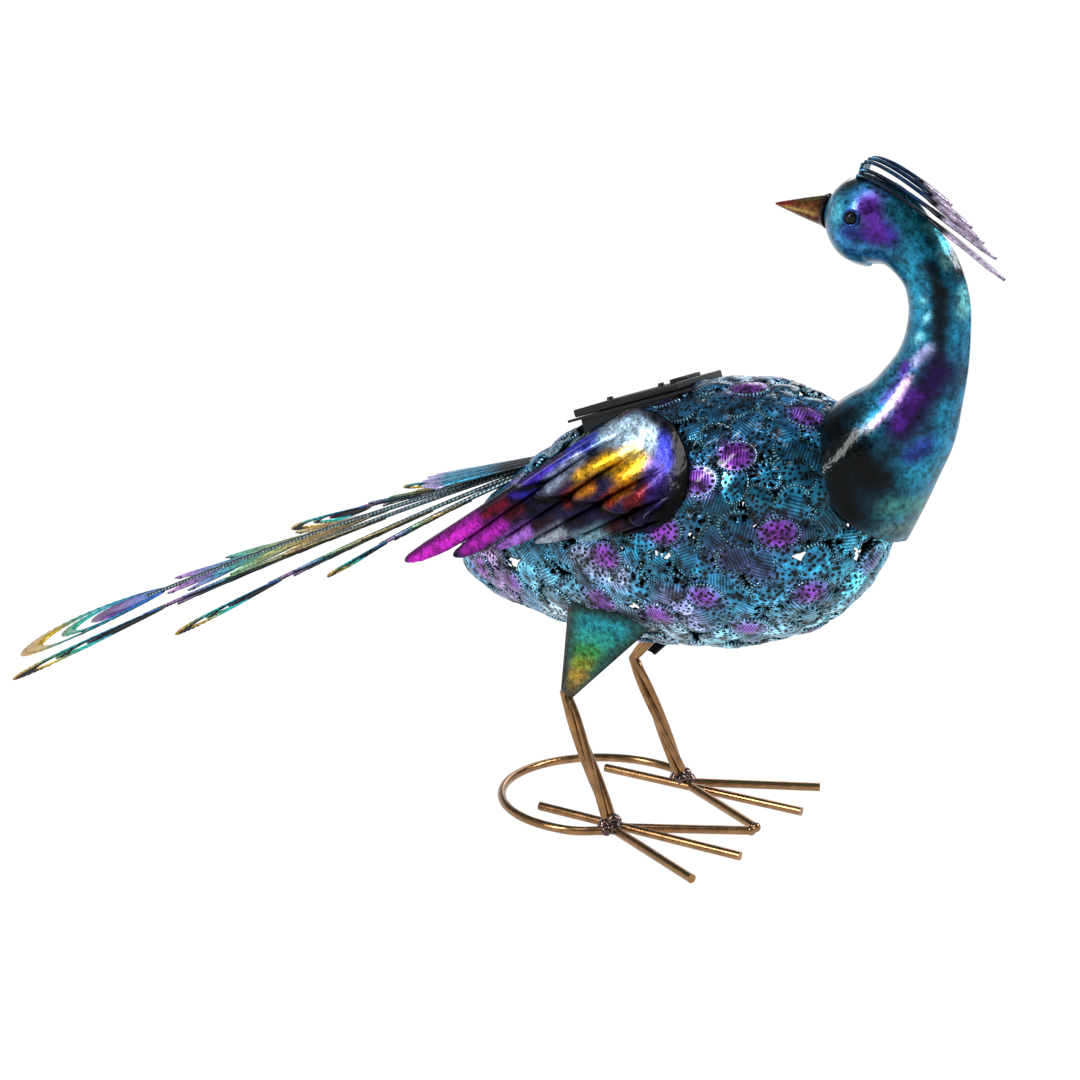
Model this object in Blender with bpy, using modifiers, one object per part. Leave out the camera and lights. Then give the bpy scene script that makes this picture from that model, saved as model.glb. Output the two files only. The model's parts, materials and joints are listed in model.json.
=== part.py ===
"""A garden peacock of painted sheet metal on wire legs, looking back over its own back.

Lengths are in metres, +Z is up and the bird's breast faces +X. The feet stand at y = +-FOOT_HALF_SPREAD.
"""

import math

import bmesh
import bpy
from mathutils import Matrix, Vector

MM = 0.001
GAP = 0.3 * MM

# Wire feet, ring and legs
WIRE = 4.0 * MM
FOOT_HALF_SPREAD = 33 * MM
RING_RADIUS = 47 * MM
RING_CENTRE_X = -24 * MM
RING_END_ANGLE = math.radians(64)
TOE_MEET_X = 54 * MM
MIDDLE_TOE_TIP = Vector((63, 30, 0)) * MM
OUTER_TOE_TIP = Vector((57, 62, 0)) * MM
BACK_TOE_TIP = Vector((-40, 29, 0)) * MM
WELD_WIDTH = 13 * MM
WELD_HEIGHT = 10 * MM
SHANK = 7.2 * MM
SHANK_LOBES = 3
SHANK_LOBE_DEPTH = 0.16
SHANK_TURNS = 0.55
LEG_CLEARANCE = 0.8 * MM
KNEE = Vector((-26, 30.5, 59.5)) * MM
LEG_TOP = Vector((7, 26, 98)) * MM

# Pierced body shell: an egg with its nose at the breast
BODY_CENTRE = Vector((6, 0, 138.8)) * MM
BODY_LENGTH = 208 * MM
BODY_WIDTH = 98 * MM
BODY_HEIGHT = 109 * MM
BODY_EGG = 0.33
BODY_RISE = 0.195
BODY_SAG = 0.187
BODY_SHEET = 1.2 * MM
PETAL_RELIEF = 1.8 * MM
PETALS_AROUND = 15
PETAL_ROWS = 10
HOLE_MARGIN = 2.5 * MM
HOLE_STRIDE = 8
BREAST = Vector((BODY_CENTRE.x + BODY_LENGTH / 2, 0, 0))

# Head and neck, pressed from one sheet: x from the breast, z, depth and width along its centre line, from the breast up
NECK_SHEET = 1.2 * MM
NECK_STATIONS = (
    (-16, 163, 64, 60),
    (-2.8, 179.8, 53.5, 50),
    (7, 192.7, 44, 39),
    (13.2, 205.8, 35.2, 31),
    (17.2, 217.5, 29.2, 26.5),
    (19, 229.5, 25.6, 24),
    (18.6, 241.7, 24.2, 23),
    (14, 253.9, 23.4, 22.5),
    (4.5, 264, 25, 25),
    (-4, 269.5, 32, 30),
    (-11.5, 271.5, 35.5, 34),
    (-19, 273, 33, 31),
    (-25, 274, 25, 23),
    (-29, 274.5, 14, 13),
)
NECK_SIDES = 16
BEAK_BASE = BREAST + Vector((-29.6, 0, 274.5)) * MM
BEAK_TIP = BREAST + Vector((-54.3, 0, 276.5)) * MM
BEAK_WIDTH = 12.5 * MM
BEAK_FLARE = 15 * MM
EYE_PLACE = BREAST + Vector((-12.5, 17.0, 274)) * MM
EYE_WIDTH = 5.0 * MM
EYE_RIM = 7.2 * MM

# Crest: one stem and its strips, each the height where it bends over and its tip from the breast, in mm
CREST_SHEET = 1.0 * MM
CREST_FOOT = BREAST + Vector((-16.6, 0, 289.6)) * MM
CREST_STRIP_WIDTH = 2.6 * MM
CREST_SLOT = 0.9 * MM
CREST_STEM_TAPER = 0.6
CREST_BEND = 9 * MM
CREST_STRIPS = (
    (290.5, (49.5, -12, 253.5)),
    (292.5, (43.5, -6, 260.5)),
    (295.5, (36, 0, 265.5)),
    (296.5, (28.5, 6, 270.5)),
    (297, (17.5, 12, 278.3)),
)

# Wings: places in the wing's own plane are x and z, in mm
WING_SHEET = 1.2 * MM
WING_SIDE = BODY_WIDTH / 2 + 5 * MM
WING_LEAN = 0.30
WING_SWEEP = 0.09
WING_SHOULDER = Vector((18, 168.5)) * MM
WING_SHOULDER_SIZE = Vector((27, 25)) * MM
WING_TOP_ANGLE = math.radians(110)
WING_SHOULDER_TURN = math.radians(175)
WING_TIPS = ((-94, 114), (-66, 120.5), (-46, 127), (-24, 133), (1, 137.5), (18, 142.5))
WING_NOTCH = 0.13
WING_BULGE = 6 * MM
WING_LOBE_RELIEF = 2.6 * MM
WING_STEP = 2.2 * MM
WING_POST = 7 * MM
WING_POST_PLACE = Vector((26, 0, 160)) * MM

# Lid and battery tray on the back
PANEL_LENGTH = 54 * MM
PANEL_WIDTH = 40 * MM
PANEL_THICKNESS = 3.4 * MM
PANEL_X = -2 * MM
PANEL_SINK = 0.6 * MM
PANEL_PITCH = math.radians(18.5)
TRAY_LIP = 4 * MM
TRAY_DEPTH = 14 * MM
TRAY_SHEET = 1.2 * MM

# Thigh plates
THIGH_SHEET = 1.2 * MM
THIGH_SIDE = KNEE.y + 5.5 * MM
THIGH_TOP_REAR = Vector((-19.5 * MM, THIGH_SIDE, BODY_CENTRE.z - 27 * MM))
THIGH_TOP_FRONT = Vector((34 * MM, THIGH_SIDE - 2 * MM, BODY_CENTRE.z - 27 * MM))
THIGH_TIP = Vector((KNEE.x + 2 * MM, THIGH_SIDE, KNEE.z + 3 * MM))
THIGH_TIP_WIDTH = 6 * MM
THIGH_CURL = 4 * MM

# Tail: name, root y, layer in the stack, tip place, droop and roll in mm and degrees
TAIL_SHEET = 1.0 * MM
TAIL_ROOT = Vector((BODY_CENTRE.x - BODY_LENGTH / 2 + 38 * MM, 0, 150.5 * MM))
TAIL_STACK_STEP = 1.5 * MM
TAIL_FEATHERS = (
    ("tail_feather_long_left", 2.7, 2, (-386, -20, 13.5), 12, -26),
    ("tail_feather_long_right", -2.7, 2, (-352, -56, 14), 12, 8),
    ("tail_feather_middle_left", 7.5, 1, (-244, 48, 88), 5, 8),
    ("tail_feather_middle_right", -7.5, 1, (-240, -50, 56), 7, 8),
    ("tail_feather_short_left", 12.5, 0, (-172, 52, 119), 1, 8),
    ("tail_feather_short_right", -12.5, 0, (-150, -42, 97), 4, 8),
)
TAIL_SHAFT = 3.6 * MM
TAIL_BARB_WIDTH = 20 * MM
TAIL_BARBS = 5
TAIL_EYE_WIDTH = 25 * MM
TAIL_COVER_LENGTH = 66 * MM
TAIL_COVER_WIDTH = 46 * MM
TAIL_COVER_LIFT = 8 * MM
TAIL_COVER_GROOVE = 0.9 * MM
TAIL_COVER_SLOPE = 0.27
TAIL_COVER_ARCH = 4 * MM

COLOURS = {
    "blue_filigree": ("2F8FB8", 0.85, 0.38),
    "glossy_teal": ("1F6FA0", 0.85, 0.25),
    "wing_enamel": ("7A5AB8", 0.85, 0.25),
    "beak_enamel": ("A8502E", 0.7, 0.35),
    "eye_black": ("0A0A0C", 0.0, 0.1),
    "crest_navy": ("1C3350", 0.8, 0.4),
    "bronze_wire": ("8A6436", 1.0, 0.35),
    "thigh_enamel": ("58A08A", 0.8, 0.45),
    "tail_enamel": ("4F6F78", 0.8, 0.4),
    "tray_black": ("16181A", 0.6, 0.45),
    "panel_black": ("101418", 0.2, 0.2),
}


def linear(hexCode):
    """An sRGB hex code as the linear colour that a shader takes."""
    channels = [int(hexCode[i : i + 2], 16) / 255 for i in (0, 2, 4)]
    return [c / 12.92 if c <= 0.04045 else ((c + 0.055) / 1.055) ** 2.4 for c in channels] + [1]


def material(name):
    made = bpy.data.materials.get(name)
    if made:
        return made
    colour, metallic, roughness = COLOURS[name]
    made = bpy.data.materials.new(name)
    made.use_nodes = True
    shader = made.node_tree.nodes["Principled BSDF"]
    shader.inputs["Base Color"].default_value = linear(colour)
    shader.inputs["Metallic"].default_value = metallic
    shader.inputs["Roughness"].default_value = roughness
    made.diffuse_color = linear(colour)
    return made


def add_object(name, bm, finish, collection):
    """The bmesh as a named, smooth-shaded object under the bird's empty."""
    bmesh.ops.recalc_face_normals(bm, faces=bm.faces)
    mesh = bpy.data.meshes.new(name)
    bm.to_mesh(mesh)
    bm.free()
    obj = bpy.data.objects.new(name, mesh)
    collection.objects.link(obj)
    obj.data.materials.append(material(finish))
    mesh.shade_smooth()
    mesh.set_sharp_from_angle(angle=math.radians(35))
    obj.parent = bpy.data.objects["peacock"]
    return obj


def add_part(name, bm, finish):
    return add_object(name, bm, finish, bpy.data.collections["peacock"])


def add_cutter(name, bm):
    obj = add_object(name, bm, "tray_black", bpy.data.collections["cutters"])
    obj.hide_render = True
    obj.display_type = "WIRE"
    return obj


def boolean(obj, other, operation="DIFFERENCE"):
    modifier = obj.modifiers.new(operation.lower(), "BOOLEAN")
    modifier.operation = operation
    modifier.object = other
    modifier.solver = "EXACT"


def bake(obj):
    """Applies the object's modifiers, so that its mesh can be mirrored."""
    bpy.context.view_layer.update()
    graph = bpy.context.evaluated_depsgraph_get()
    obj.data = bpy.data.meshes.new_from_object(obj.evaluated_get(graph))
    obj.modifiers.clear()


def add_left_twin(right, name):
    """The same piece on the bird's left side."""
    bake(right)
    bm = bmesh.new()
    bm.from_mesh(right.data)
    bmesh.ops.scale(bm, vec=(1, -1, 1), verts=bm.verts)
    bmesh.ops.reverse_faces(bm, faces=bm.faces)
    mesh = right.data.copy()
    mesh.name = name
    bm.to_mesh(mesh)
    bm.free()
    twin = bpy.data.objects.new(name, mesh)
    bpy.data.collections["peacock"].objects.link(twin)
    twin.parent = bpy.data.objects["peacock"]


def solidify(obj, thickness, offset=-1.0):
    modifier = obj.modifiers.new("sheet", "SOLIDIFY")
    modifier.thickness = thickness
    modifier.offset = offset
    modifier.use_even_offset = False


def mirrored(place, side):
    return Vector((place.x, place.y * side, place.z))


def frame_along(place, forward, side=Vector((0, 1, 0))):
    """A matrix whose Z runs along forward and whose Y stays near side."""
    z = forward.normalized()
    x = side.cross(z).normalized()
    y = z.cross(x)
    return Matrix.Translation(place) @ Matrix((x, y, z)).transposed().to_4x4()


def add_ring(bm, matrix, sides, half_x, half_y, lobes=0, lobe_depth=0.0, twist=0.0):
    """A closed ring of edges, elliptical or lobed, in the XY plane of matrix."""
    ring = bmesh.ops.create_circle(bm, cap_ends=False, segments=sides, radius=1.0)["verts"]
    for vert in ring:
        angle = math.atan2(vert.co.y, vert.co.x)
        reach = 1 - lobe_depth / 2 + lobe_depth / 2 * math.cos(lobes * angle)
        vert.co = Vector((math.cos(angle + twist) * half_x * reach, math.sin(angle + twist) * half_y * reach, 0))
    bmesh.ops.transform(bm, matrix=matrix, verts=ring)
    return [edge for edge in bm.edges if edge.verts[0] in ring and edge.verts[1] in ring]


def bridge(bm, rings, cap_start=True, cap_end=True):
    """Skins neighbouring rings of edges, and closes the ends."""
    for first, second in zip(rings, rings[1:]):
        bmesh.ops.bridge_loops(bm, edges=first + second)
    for ring, capped in ((rings[0], cap_start), (rings[-1], cap_end)):
        if capped:
            bmesh.ops.edgeloop_fill(bm, edges=ring)


def add_rod(bm, start, end, diameter, sides=8):
    """A capped wire with a flat underneath, so that its flats span the diameter."""
    length = (end - start).length
    made = bmesh.ops.create_cone(
        bm, cap_ends=True, segments=sides,
        radius1=diameter / 2 / math.cos(math.pi / sides), radius2=diameter / 2 / math.cos(math.pi / sides),
        depth=length,
    )["verts"]
    bmesh.ops.rotate(bm, verts=made, cent=(0, 0, 0), matrix=Matrix.Rotation(math.pi / sides, 3, "Z"))
    bmesh.ops.transform(bm, matrix=frame_along((start + end) / 2, end - start), verts=made)


def egg_point(unit, grow=0.0):
    """The body's smooth egg along a unit direction, grown outwards by about grow."""
    along = (BODY_LENGTH / 2 + grow) * unit.x
    swell = 1 + BODY_EGG * unit.x
    return BODY_CENTRE + Vector((
        along,
        (BODY_WIDTH / 2 * swell + grow) * unit.y,
        (BODY_HEIGHT / 2 * swell + grow) * unit.z + BODY_RISE * along - BODY_SAG * along * along / BODY_LENGTH,
    ))


def egg_top(x, y=0.0, grow=0.0):
    """Height of the egg's upper side over a place in plan."""
    ux = (x - BODY_CENTRE.x) / (BODY_LENGTH / 2 + grow)
    swell = 1 + BODY_EGG * ux
    uy = y / (BODY_WIDTH / 2 * swell + grow)
    uz = math.sqrt(max(0.0, 1 - ux * ux - uy * uy))
    return egg_point(Vector((ux, uy, uz)), grow).z


def add_egg(bm, around, rows, grow=0.0):
    """A UV sphere with its poles fore and aft, shaped to the egg."""
    verts = bmesh.ops.create_uvsphere(bm, u_segments=around, v_segments=rows, radius=1.0)["verts"]
    bmesh.ops.rotate(bm, verts=verts, cent=(0, 0, 0), matrix=Matrix.Rotation(math.pi / 2, 3, "Y"))
    units = {vert: vert.co.normalized() for vert in verts}
    for vert, unit in units.items():
        vert.co = egg_point(unit, grow)
    return units


def body_shell():
    """The pierced shell: petals as raised knots in offset rows, with openings between them."""
    bm = bmesh.new()
    around = 2 * PETALS_AROUND
    rows = 2 * PETAL_ROWS
    units = add_egg(bm, around, rows)
    grid = {}
    for vert, unit in units.items():
        row = round(math.acos(max(-1.0, min(1.0, unit.x))) / math.pi * rows)
        column = round((math.atan2(unit.y, unit.z) / (2 * math.pi)) % 1.0 * around) % around
        grid[vert] = (row, column)
    bm.normal_update()
    for vert, (row, column) in grid.items():
        if 0 < row < rows and row % 2 and (column + row // 2) % 2:
            vert.co += vert.normal * PETAL_RELIEF
    openings = []
    for face in bm.faces:
        places = [grid[vert] for vert in face.verts]
        row = min(place[0] for place in places)
        column = min(place[1] for place in places)
        narrowest = min(edge.calc_length() for edge in face.edges)
        if narrowest > 3 * HOLE_MARGIN and (column + 3 * row) % HOLE_STRIDE == 0:
            openings.append(face)
    bmesh.ops.inset_individual(bm, faces=openings, thickness=HOLE_MARGIN, use_even_offset=True)
    bmesh.ops.delete(bm, geom=openings, context="FACES")
    obj = add_part("body_shell", bm, "blue_filigree")
    solidify(obj, BODY_SHEET)
    tray_room = bmesh.new()
    bmesh.ops.create_cube(tray_room, size=1.0)
    room = Vector((PANEL_LENGTH + 2 * TRAY_LIP, PANEL_WIDTH, 2 * TRAY_DEPTH)) + Vector((3, 3, 3)) * GAP
    bmesh.ops.transform(tray_room, matrix=panel_matrix() @ Matrix.Diagonal(room).to_4x4(), verts=tray_room.verts)
    boolean(obj, add_cutter("tray_room", tray_room))
    for side, word in ((-1, "right"), (1, "left")):
        knee, top = mirrored(KNEE, side), mirrored(LEG_TOP, side)
        leg_room = bmesh.new()
        add_rod(leg_room, knee, top + (top - knee).normalized() * SHANK, SHANK + 2 * LEG_CLEARANCE, 12)
        boolean(obj, add_cutter(f"leg_room_{word}", leg_room))


def neck_and_head():
    """One pressed sheet from the collar to the beak, cut at the bottom to sit on the shell."""
    bm = bmesh.new()
    centres = [BREAST + Vector((x, 0, z)) * MM for x, z, depth, width in NECK_STATIONS]
    rings = []
    for i, (x, z, depth, width) in enumerate(NECK_STATIONS):
        before, after = centres[max(i - 1, 0)], centres[min(i + 1, len(centres) - 1)]
        matrix = frame_along(centres[i], after - before)
        rings.append(add_ring(bm, matrix, NECK_SIDES, depth / 2 * MM, width / 2 * MM))
    bridge(bm, rings, cap_start=False)
    obj = add_part("neck_and_head", bm, "glossy_teal")
    solidify(obj, NECK_SHEET)
    seat = bmesh.new()
    add_egg(seat, 32, 20, grow=PETAL_RELIEF + 2 * GAP)
    boolean(obj, add_cutter("body_seat", seat))
    return obj


def beak():
    """A pressed cone with a flared foot."""
    forward = BEAK_TIP - BEAK_BASE
    length = forward.length
    profile = ((0.0, BEAK_FLARE), (0.1, BEAK_WIDTH), (0.35, BEAK_WIDTH * 0.8), (0.92, BEAK_WIDTH * 0.16), (1.0, BEAK_WIDTH * 0.05))
    bm = bmesh.new()
    rings = []
    for share, width in profile:
        place = BEAK_BASE + forward.normalized() * (GAP + share * (length - GAP))
        rings.append(add_ring(bm, frame_along(place, forward), 12, width / 2, width / 2 * 0.9))
    bridge(bm, rings)
    add_part("beak", bm, "beak_enamel")


def eyes():
    """A bead in a thin rim on each side of the head."""
    outwards = Vector((0, -1, 0))
    bm = bmesh.new()
    rings = []
    profile = ((0.0, EYE_RIM), (0.25, EYE_RIM), (0.3, EYE_WIDTH), (0.7, EYE_WIDTH * 0.8), (0.95, EYE_WIDTH * 0.3))
    for share, width in profile:
        place = mirrored(EYE_PLACE, -1) + outwards * (GAP + share * EYE_WIDTH / 2)
        rings.append(add_ring(bm, frame_along(place, outwards, Vector((0, 0, 1))), 12, width / 2, width / 2))
    bridge(bm, rings)
    add_left_twin(add_part("eye_right", bm, "eye_black"), "eye_left")


def crest():
    """One cut sheet: a stem on the crown that divides into strips, bent over backwards, with paddle ends."""
    bm = bmesh.new()
    half = CREST_STRIP_WIDTH / 2
    pitch = CREST_STRIP_WIDTH + CREST_SLOT
    count = len(CREST_STRIPS)
    stem = []
    for number, (height, tip) in enumerate(CREST_STRIPS):
        y = (number - (count - 1) / 2) * pitch
        for edge in (-half, half):
            stem.append((
                bm.verts.new((CREST_FOOT.x, (y + edge) * CREST_STEM_TAPER, CREST_FOOT.z)),
                bm.verts.new((CREST_FOOT.x + 1.5 * MM, (y + edge), height * MM)),
            ))
    for first, second in zip(stem, stem[1:]):
        bm.faces.new((first[0], second[0], second[1], first[1]))
    for number, (height, tip) in enumerate(CREST_STRIPS):
        y = (number - (count - 1) / 2) * pitch
        start = Vector((CREST_FOOT.x + 1.5 * MM, y, height * MM))
        tip = BREAST + Vector(tip) * MM
        shoulder = start + Vector((CREST_BEND, 0, CREST_BEND * 0.12))
        last = (stem[2 * number][1], stem[2 * number + 1][1])
        for share, width in ((0.08, 1.0), (0.2, 1.0), (0.4, 1.0), (0.68, 1.0), (0.7, 1.8), (0.9, 1.6), (1.0, 0.5)):
            place = start * (1 - share) ** 2 + shoulder * (2 * share * (1 - share)) + tip * share ** 2
            row = (
                bm.verts.new(place - Vector((0, half * width, 0))),
                bm.verts.new(place + Vector((0, half * width, 0))),
            )
            bm.faces.new((last[0], last[1], row[1], row[0]))
            last = row
    obj = add_part("crest", bm, "crest_navy")
    solidify(obj, CREST_SHEET, offset=0)


def wing_place(flat, rise=0.0):
    """A place in the wing's plane, given by its x and z, as a point beside the body on the right, raised outwards."""
    inwards = WING_LEAN * (flat.y - BODY_CENTRE.z) + WING_SWEEP * (WING_SHOULDER.x - flat.x)
    return Vector((flat.x, -(WING_SIDE - inwards + rise), flat.y))


def wing_line(across):
    """Where a line of the wing starts, on the rounded shoulder, and ends, in line with its two nearest tips."""
    angle = WING_TOP_ANGLE - WING_SHOULDER_TURN * across
    start = WING_SHOULDER + Vector((
        WING_SHOULDER_SIZE.x * math.cos(angle), WING_SHOULDER_SIZE.y * math.sin(angle),
    ))
    place = across * len(WING_TIPS) - 0.5
    number = min(max(int(place), 0), len(WING_TIPS) - 2)
    end = Vector(WING_TIPS[number]).lerp(Vector(WING_TIPS[number + 1]), place - number) * MM
    return start, end


def wings():
    """A pressed sheet: puffy coverts over a fan of long feathers, each feather with its own rounded tip."""
    bm = bmesh.new()
    columns = 4 * len(WING_TIPS)
    rows = (0.0, 0.14, 0.34, 0.56, 0.6, 0.8, 1.0)
    step_after = 0.58
    grid = []
    for column in range(columns + 1):
        across = column / columns
        ridge = abs(math.sin(math.pi * len(WING_TIPS) * across))
        start, end = wing_line(across)
        tip_pull = 1 - WING_NOTCH * (1 - ridge)
        line = []
        for along in rows:
            reach = along * tip_pull
            dome = math.sin(math.pi * (0.08 + 0.9 * reach)) ** 0.6 * math.sin(math.pi * (0.05 + 0.9 * across)) ** 0.5
            rise = WING_BULGE * dome * (1 - 0.5 * reach)
            rise += WING_LOBE_RELIEF * ridge * min(1.0, 2.5 * along)
            if along > step_after:
                rise -= WING_STEP
            line.append(bm.verts.new(wing_place(start.lerp(end, reach), rise)))
        grid.append(line)
    for first, second in zip(grid, grid[1:]):
        for row in range(len(rows) - 1):
            bm.faces.new((first[row], first[row + 1], second[row + 1], second[row]))
    wing = add_part("wing_right", bm, "wing_enamel")
    solidify(wing, WING_SHEET, offset=0)
    post = bmesh.new()
    outer = wing_place(WING_POST_PLACE.xz, WING_BULGE * 0.9)
    add_rod(post, outer + Vector((0, WING_SIDE / 2, 0)), outer, WING_POST)
    boolean(wing, add_cutter("wing_post", post), "UNION")
    boolean(wing, bpy.data.objects["body_seat"])
    add_left_twin(wing, "wing_left")


def panel_matrix():
    centre = Vector((PANEL_X, 0, egg_top(PANEL_X) - PANEL_SINK))
    return Matrix.Translation(centre) @ Matrix.Rotation(-PANEL_PITCH, 4, "Y")


def back_panel():
    """A flanged tray let into the back, and the thin lid panel with its clip block and two studs."""
    bm = bmesh.new()
    bmesh.ops.create_cube(bm, size=1.0)
    bmesh.ops.scale(bm, verts=bm.verts, vec=(PANEL_LENGTH - 4 * MM, PANEL_WIDTH - 4 * MM, TRAY_DEPTH))
    bmesh.ops.translate(bm, verts=bm.verts, vec=(0, 0, -TRAY_DEPTH / 2))
    lid = [face for face in bm.faces if face.normal.z > 0.5]
    rim = [edge for edge in lid[0].edges]
    bmesh.ops.delete(bm, geom=lid, context="FACES_ONLY")
    grown = bmesh.ops.extrude_edge_only(bm, edges=rim)["geom"]
    corners = [item for item in grown if isinstance(item, bmesh.types.BMVert)]
    for vert in corners:
        vert.co.x += math.copysign(TRAY_LIP + 2 * MM, vert.co.x)
        vert.co.y += math.copysign(TRAY_LIP / 2, vert.co.y)
    bmesh.ops.transform(bm, matrix=panel_matrix(), verts=bm.verts)
    tray = add_part("battery_tray", bm, "tray_black")
    solidify(tray, TRAY_SHEET, offset=0)
    bm = bmesh.new()
    bmesh.ops.create_cube(bm, size=1.0)
    bmesh.ops.scale(bm, verts=bm.verts, vec=(PANEL_LENGTH, PANEL_WIDTH, PANEL_THICKNESS))
    bmesh.ops.bevel(
        bm, geom=bm.edges, offset=0.8 * MM, offset_type="OFFSET", affect="EDGES", segments=1, profile=0.5, material=-1
    )
    bmesh.ops.translate(bm, verts=bm.verts, vec=(0, 0, PANEL_THICKNESS / 2 + TRAY_SHEET / 2 + GAP))
    bmesh.ops.transform(bm, matrix=panel_matrix(), verts=bm.verts)
    panel = add_part("solar_panel", bm, "panel_black")
    block = bmesh.new()
    bmesh.ops.create_cube(block, size=1.0)
    bmesh.ops.scale(block, verts=block.verts, vec=(9 * MM, 12 * MM, 3 * MM))
    bmesh.ops.translate(block, verts=block.verts, vec=(PANEL_LENGTH / 2 - 7 * MM, 0, PANEL_THICKNESS + 1.6 * MM))
    bmesh.ops.transform(block, matrix=panel_matrix(), verts=block.verts)
    boolean(panel, add_cutter("clip_block", block), "UNION")
    for number, share in enumerate((-0.36, 0.14)):
        stud = bmesh.new()
        bmesh.ops.create_cone(stud, cap_ends=True, segments=8, radius1=1.7 * MM, radius2=1.3 * MM, depth=2.4 * MM)
        bmesh.ops.translate(stud, verts=stud.verts, vec=(share * PANEL_LENGTH, 0, PANEL_THICKNESS + 1.6 * MM))
        bmesh.ops.transform(stud, matrix=panel_matrix(), verts=stud.verts)
        boolean(panel, add_cutter(f"stud_{number}", stud), "UNION")


def thighs():
    """A curled triangle of sheet outside each knee, its top edge against the shell."""
    bm = bmesh.new()
    tip_start = mirrored(THIGH_TIP, -1)
    columns = 4
    grid = []
    for i in range(columns + 1):
        share = i / columns
        top = mirrored(THIGH_TOP_REAR, -1).lerp(mirrored(THIGH_TOP_FRONT, -1), share)
        tip = tip_start + Vector((THIGH_TIP_WIDTH * share, 0, -0.3 * THIGH_TIP_WIDTH * share))
        line = []
        for down in (0.0, 0.5, 1.0):
            place = top.lerp(tip, down)
            place.y -= THIGH_CURL * math.sin(math.pi * share) * (1 - 0.7 * down)
            line.append(bm.verts.new(place))
        grid.append(line)
    for first, second in zip(grid, grid[1:]):
        for row in range(2):
            bm.faces.new((first[row], first[row + 1], second[row + 1], second[row]))
    thigh = add_part("thigh_right", bm, "thigh_enamel")
    solidify(thigh, THIGH_SHEET, offset=0)
    boolean(thigh, bpy.data.objects["body_seat"])
    add_left_twin(thigh, "thigh_left")


def legs():
    """Twisted wires from each foot's weld to the knee, bent there and on up into the shell."""
    foot = Vector((0, -FOOT_HALF_SPREAD, WELD_HEIGHT * 0.35))
    knee = mirrored(KNEE, -1)
    top = mirrored(LEG_TOP, -1)
    bm = bmesh.new()
    rings = []
    steps = 12
    lobes = (12, SHANK / 2, SHANK / 2, SHANK_LOBES, SHANK_LOBE_DEPTH)
    for i in range(steps + 1):
        forward = knee - foot if i < steps else (knee - foot).normalized() + (top - knee).normalized()
        twist = 2 * math.pi * SHANK_TURNS * i / steps
        rings.append(add_ring(bm, frame_along(foot.lerp(knee, i / steps), forward), *lobes, twist))
    for share in (0.15, 0.6, 1.0):
        rings.append(add_ring(bm, frame_along(knee.lerp(top, share), top - knee), *lobes, 2 * math.pi * SHANK_TURNS))
    bridge(bm, rings)
    leg = add_part("leg_right", bm, "bronze_wire")
    weld_room = bmesh.new()
    add_weld(weld_room, foot, 2 * GAP)
    boolean(leg, add_cutter("weld_room", weld_room))
    add_left_twin(leg, "leg_left")


def add_weld(bm, foot, grow=0.0):
    """The lump of weld on a foot, flat where it stands."""
    made = bmesh.ops.create_icosphere(bm, subdivisions=2, radius=1.0)["verts"]
    size = Vector((WELD_WIDTH / 2 + grow, WELD_WIDTH / 2 + grow, WELD_HEIGHT * 0.65 + grow))
    bmesh.ops.transform(bm, matrix=Matrix.Diagonal(size).to_4x4(), verts=made)
    bmesh.ops.translate(bm, verts=made, vec=(foot.x, foot.y, WELD_HEIGHT * 0.35))
    cut = bmesh.ops.bisect_plane(
        bm, geom=bm.verts[:] + bm.edges[:] + bm.faces[:], plane_co=(0, 0, 0), plane_no=(0, 0, -1), clear_outer=True
    )["geom_cut"]
    bmesh.ops.edgeloop_fill(bm, edges=[item for item in cut if isinstance(item, bmesh.types.BMEdge)])


def feet():
    """Each foot: a weld with three front toes and one back toe, the inner toes meeting in a V."""
    foot = Vector((0, -FOOT_HALF_SPREAD, 0))
    bm = bmesh.new()
    add_weld(bm, foot)
    obj = add_part("foot_right", bm, "bronze_wire")
    level = Vector((0, 0, WIRE / 2))
    meet = Vector((TOE_MEET_X, -(GAP / 2 + WIRE / 2), 0))
    toes = {
        "inner": (foot, meet),
        "outer": (foot, mirrored(OUTER_TOE_TIP, -1)),
        "straight": (mirrored(BACK_TOE_TIP, -1), mirrored(MIDDLE_TOE_TIP, -1)),
    }
    for toe, (start, end) in toes.items():
        rod = bmesh.new()
        add_rod(rod, start + level, end + level, WIRE)
        boolean(obj, add_cutter(f"{toe}_toe", rod), "UNION")
    add_left_twin(obj, "foot_left")


def base_ring():
    """The bent wire behind the feet, from weld to weld."""
    curve = bpy.data.curves.new("base_ring", "CURVE")
    curve.dimensions = "3D"
    curve.bevel_depth = WIRE / 2 / math.cos(math.pi / 8)
    curve.bevel_resolution = 2
    curve.use_fill_caps = True
    spline = curve.splines.new("POLY")
    steps = 24
    spline.points.add(steps)
    for i, point in enumerate(spline.points):
        angle = RING_END_ANGLE + (2 * math.pi - 2 * RING_END_ANGLE) * i / steps
        point.co = (
            RING_CENTRE_X + RING_RADIUS * math.cos(angle), RING_RADIUS * math.sin(angle), curve.bevel_depth, 1,
        )
    obj = bpy.data.objects.new("base_ring", curve)
    bpy.data.collections["peacock"].objects.link(obj)
    obj.data.materials.append(material("bronze_wire"))
    obj.parent = bpy.data.objects["peacock"]


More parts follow.
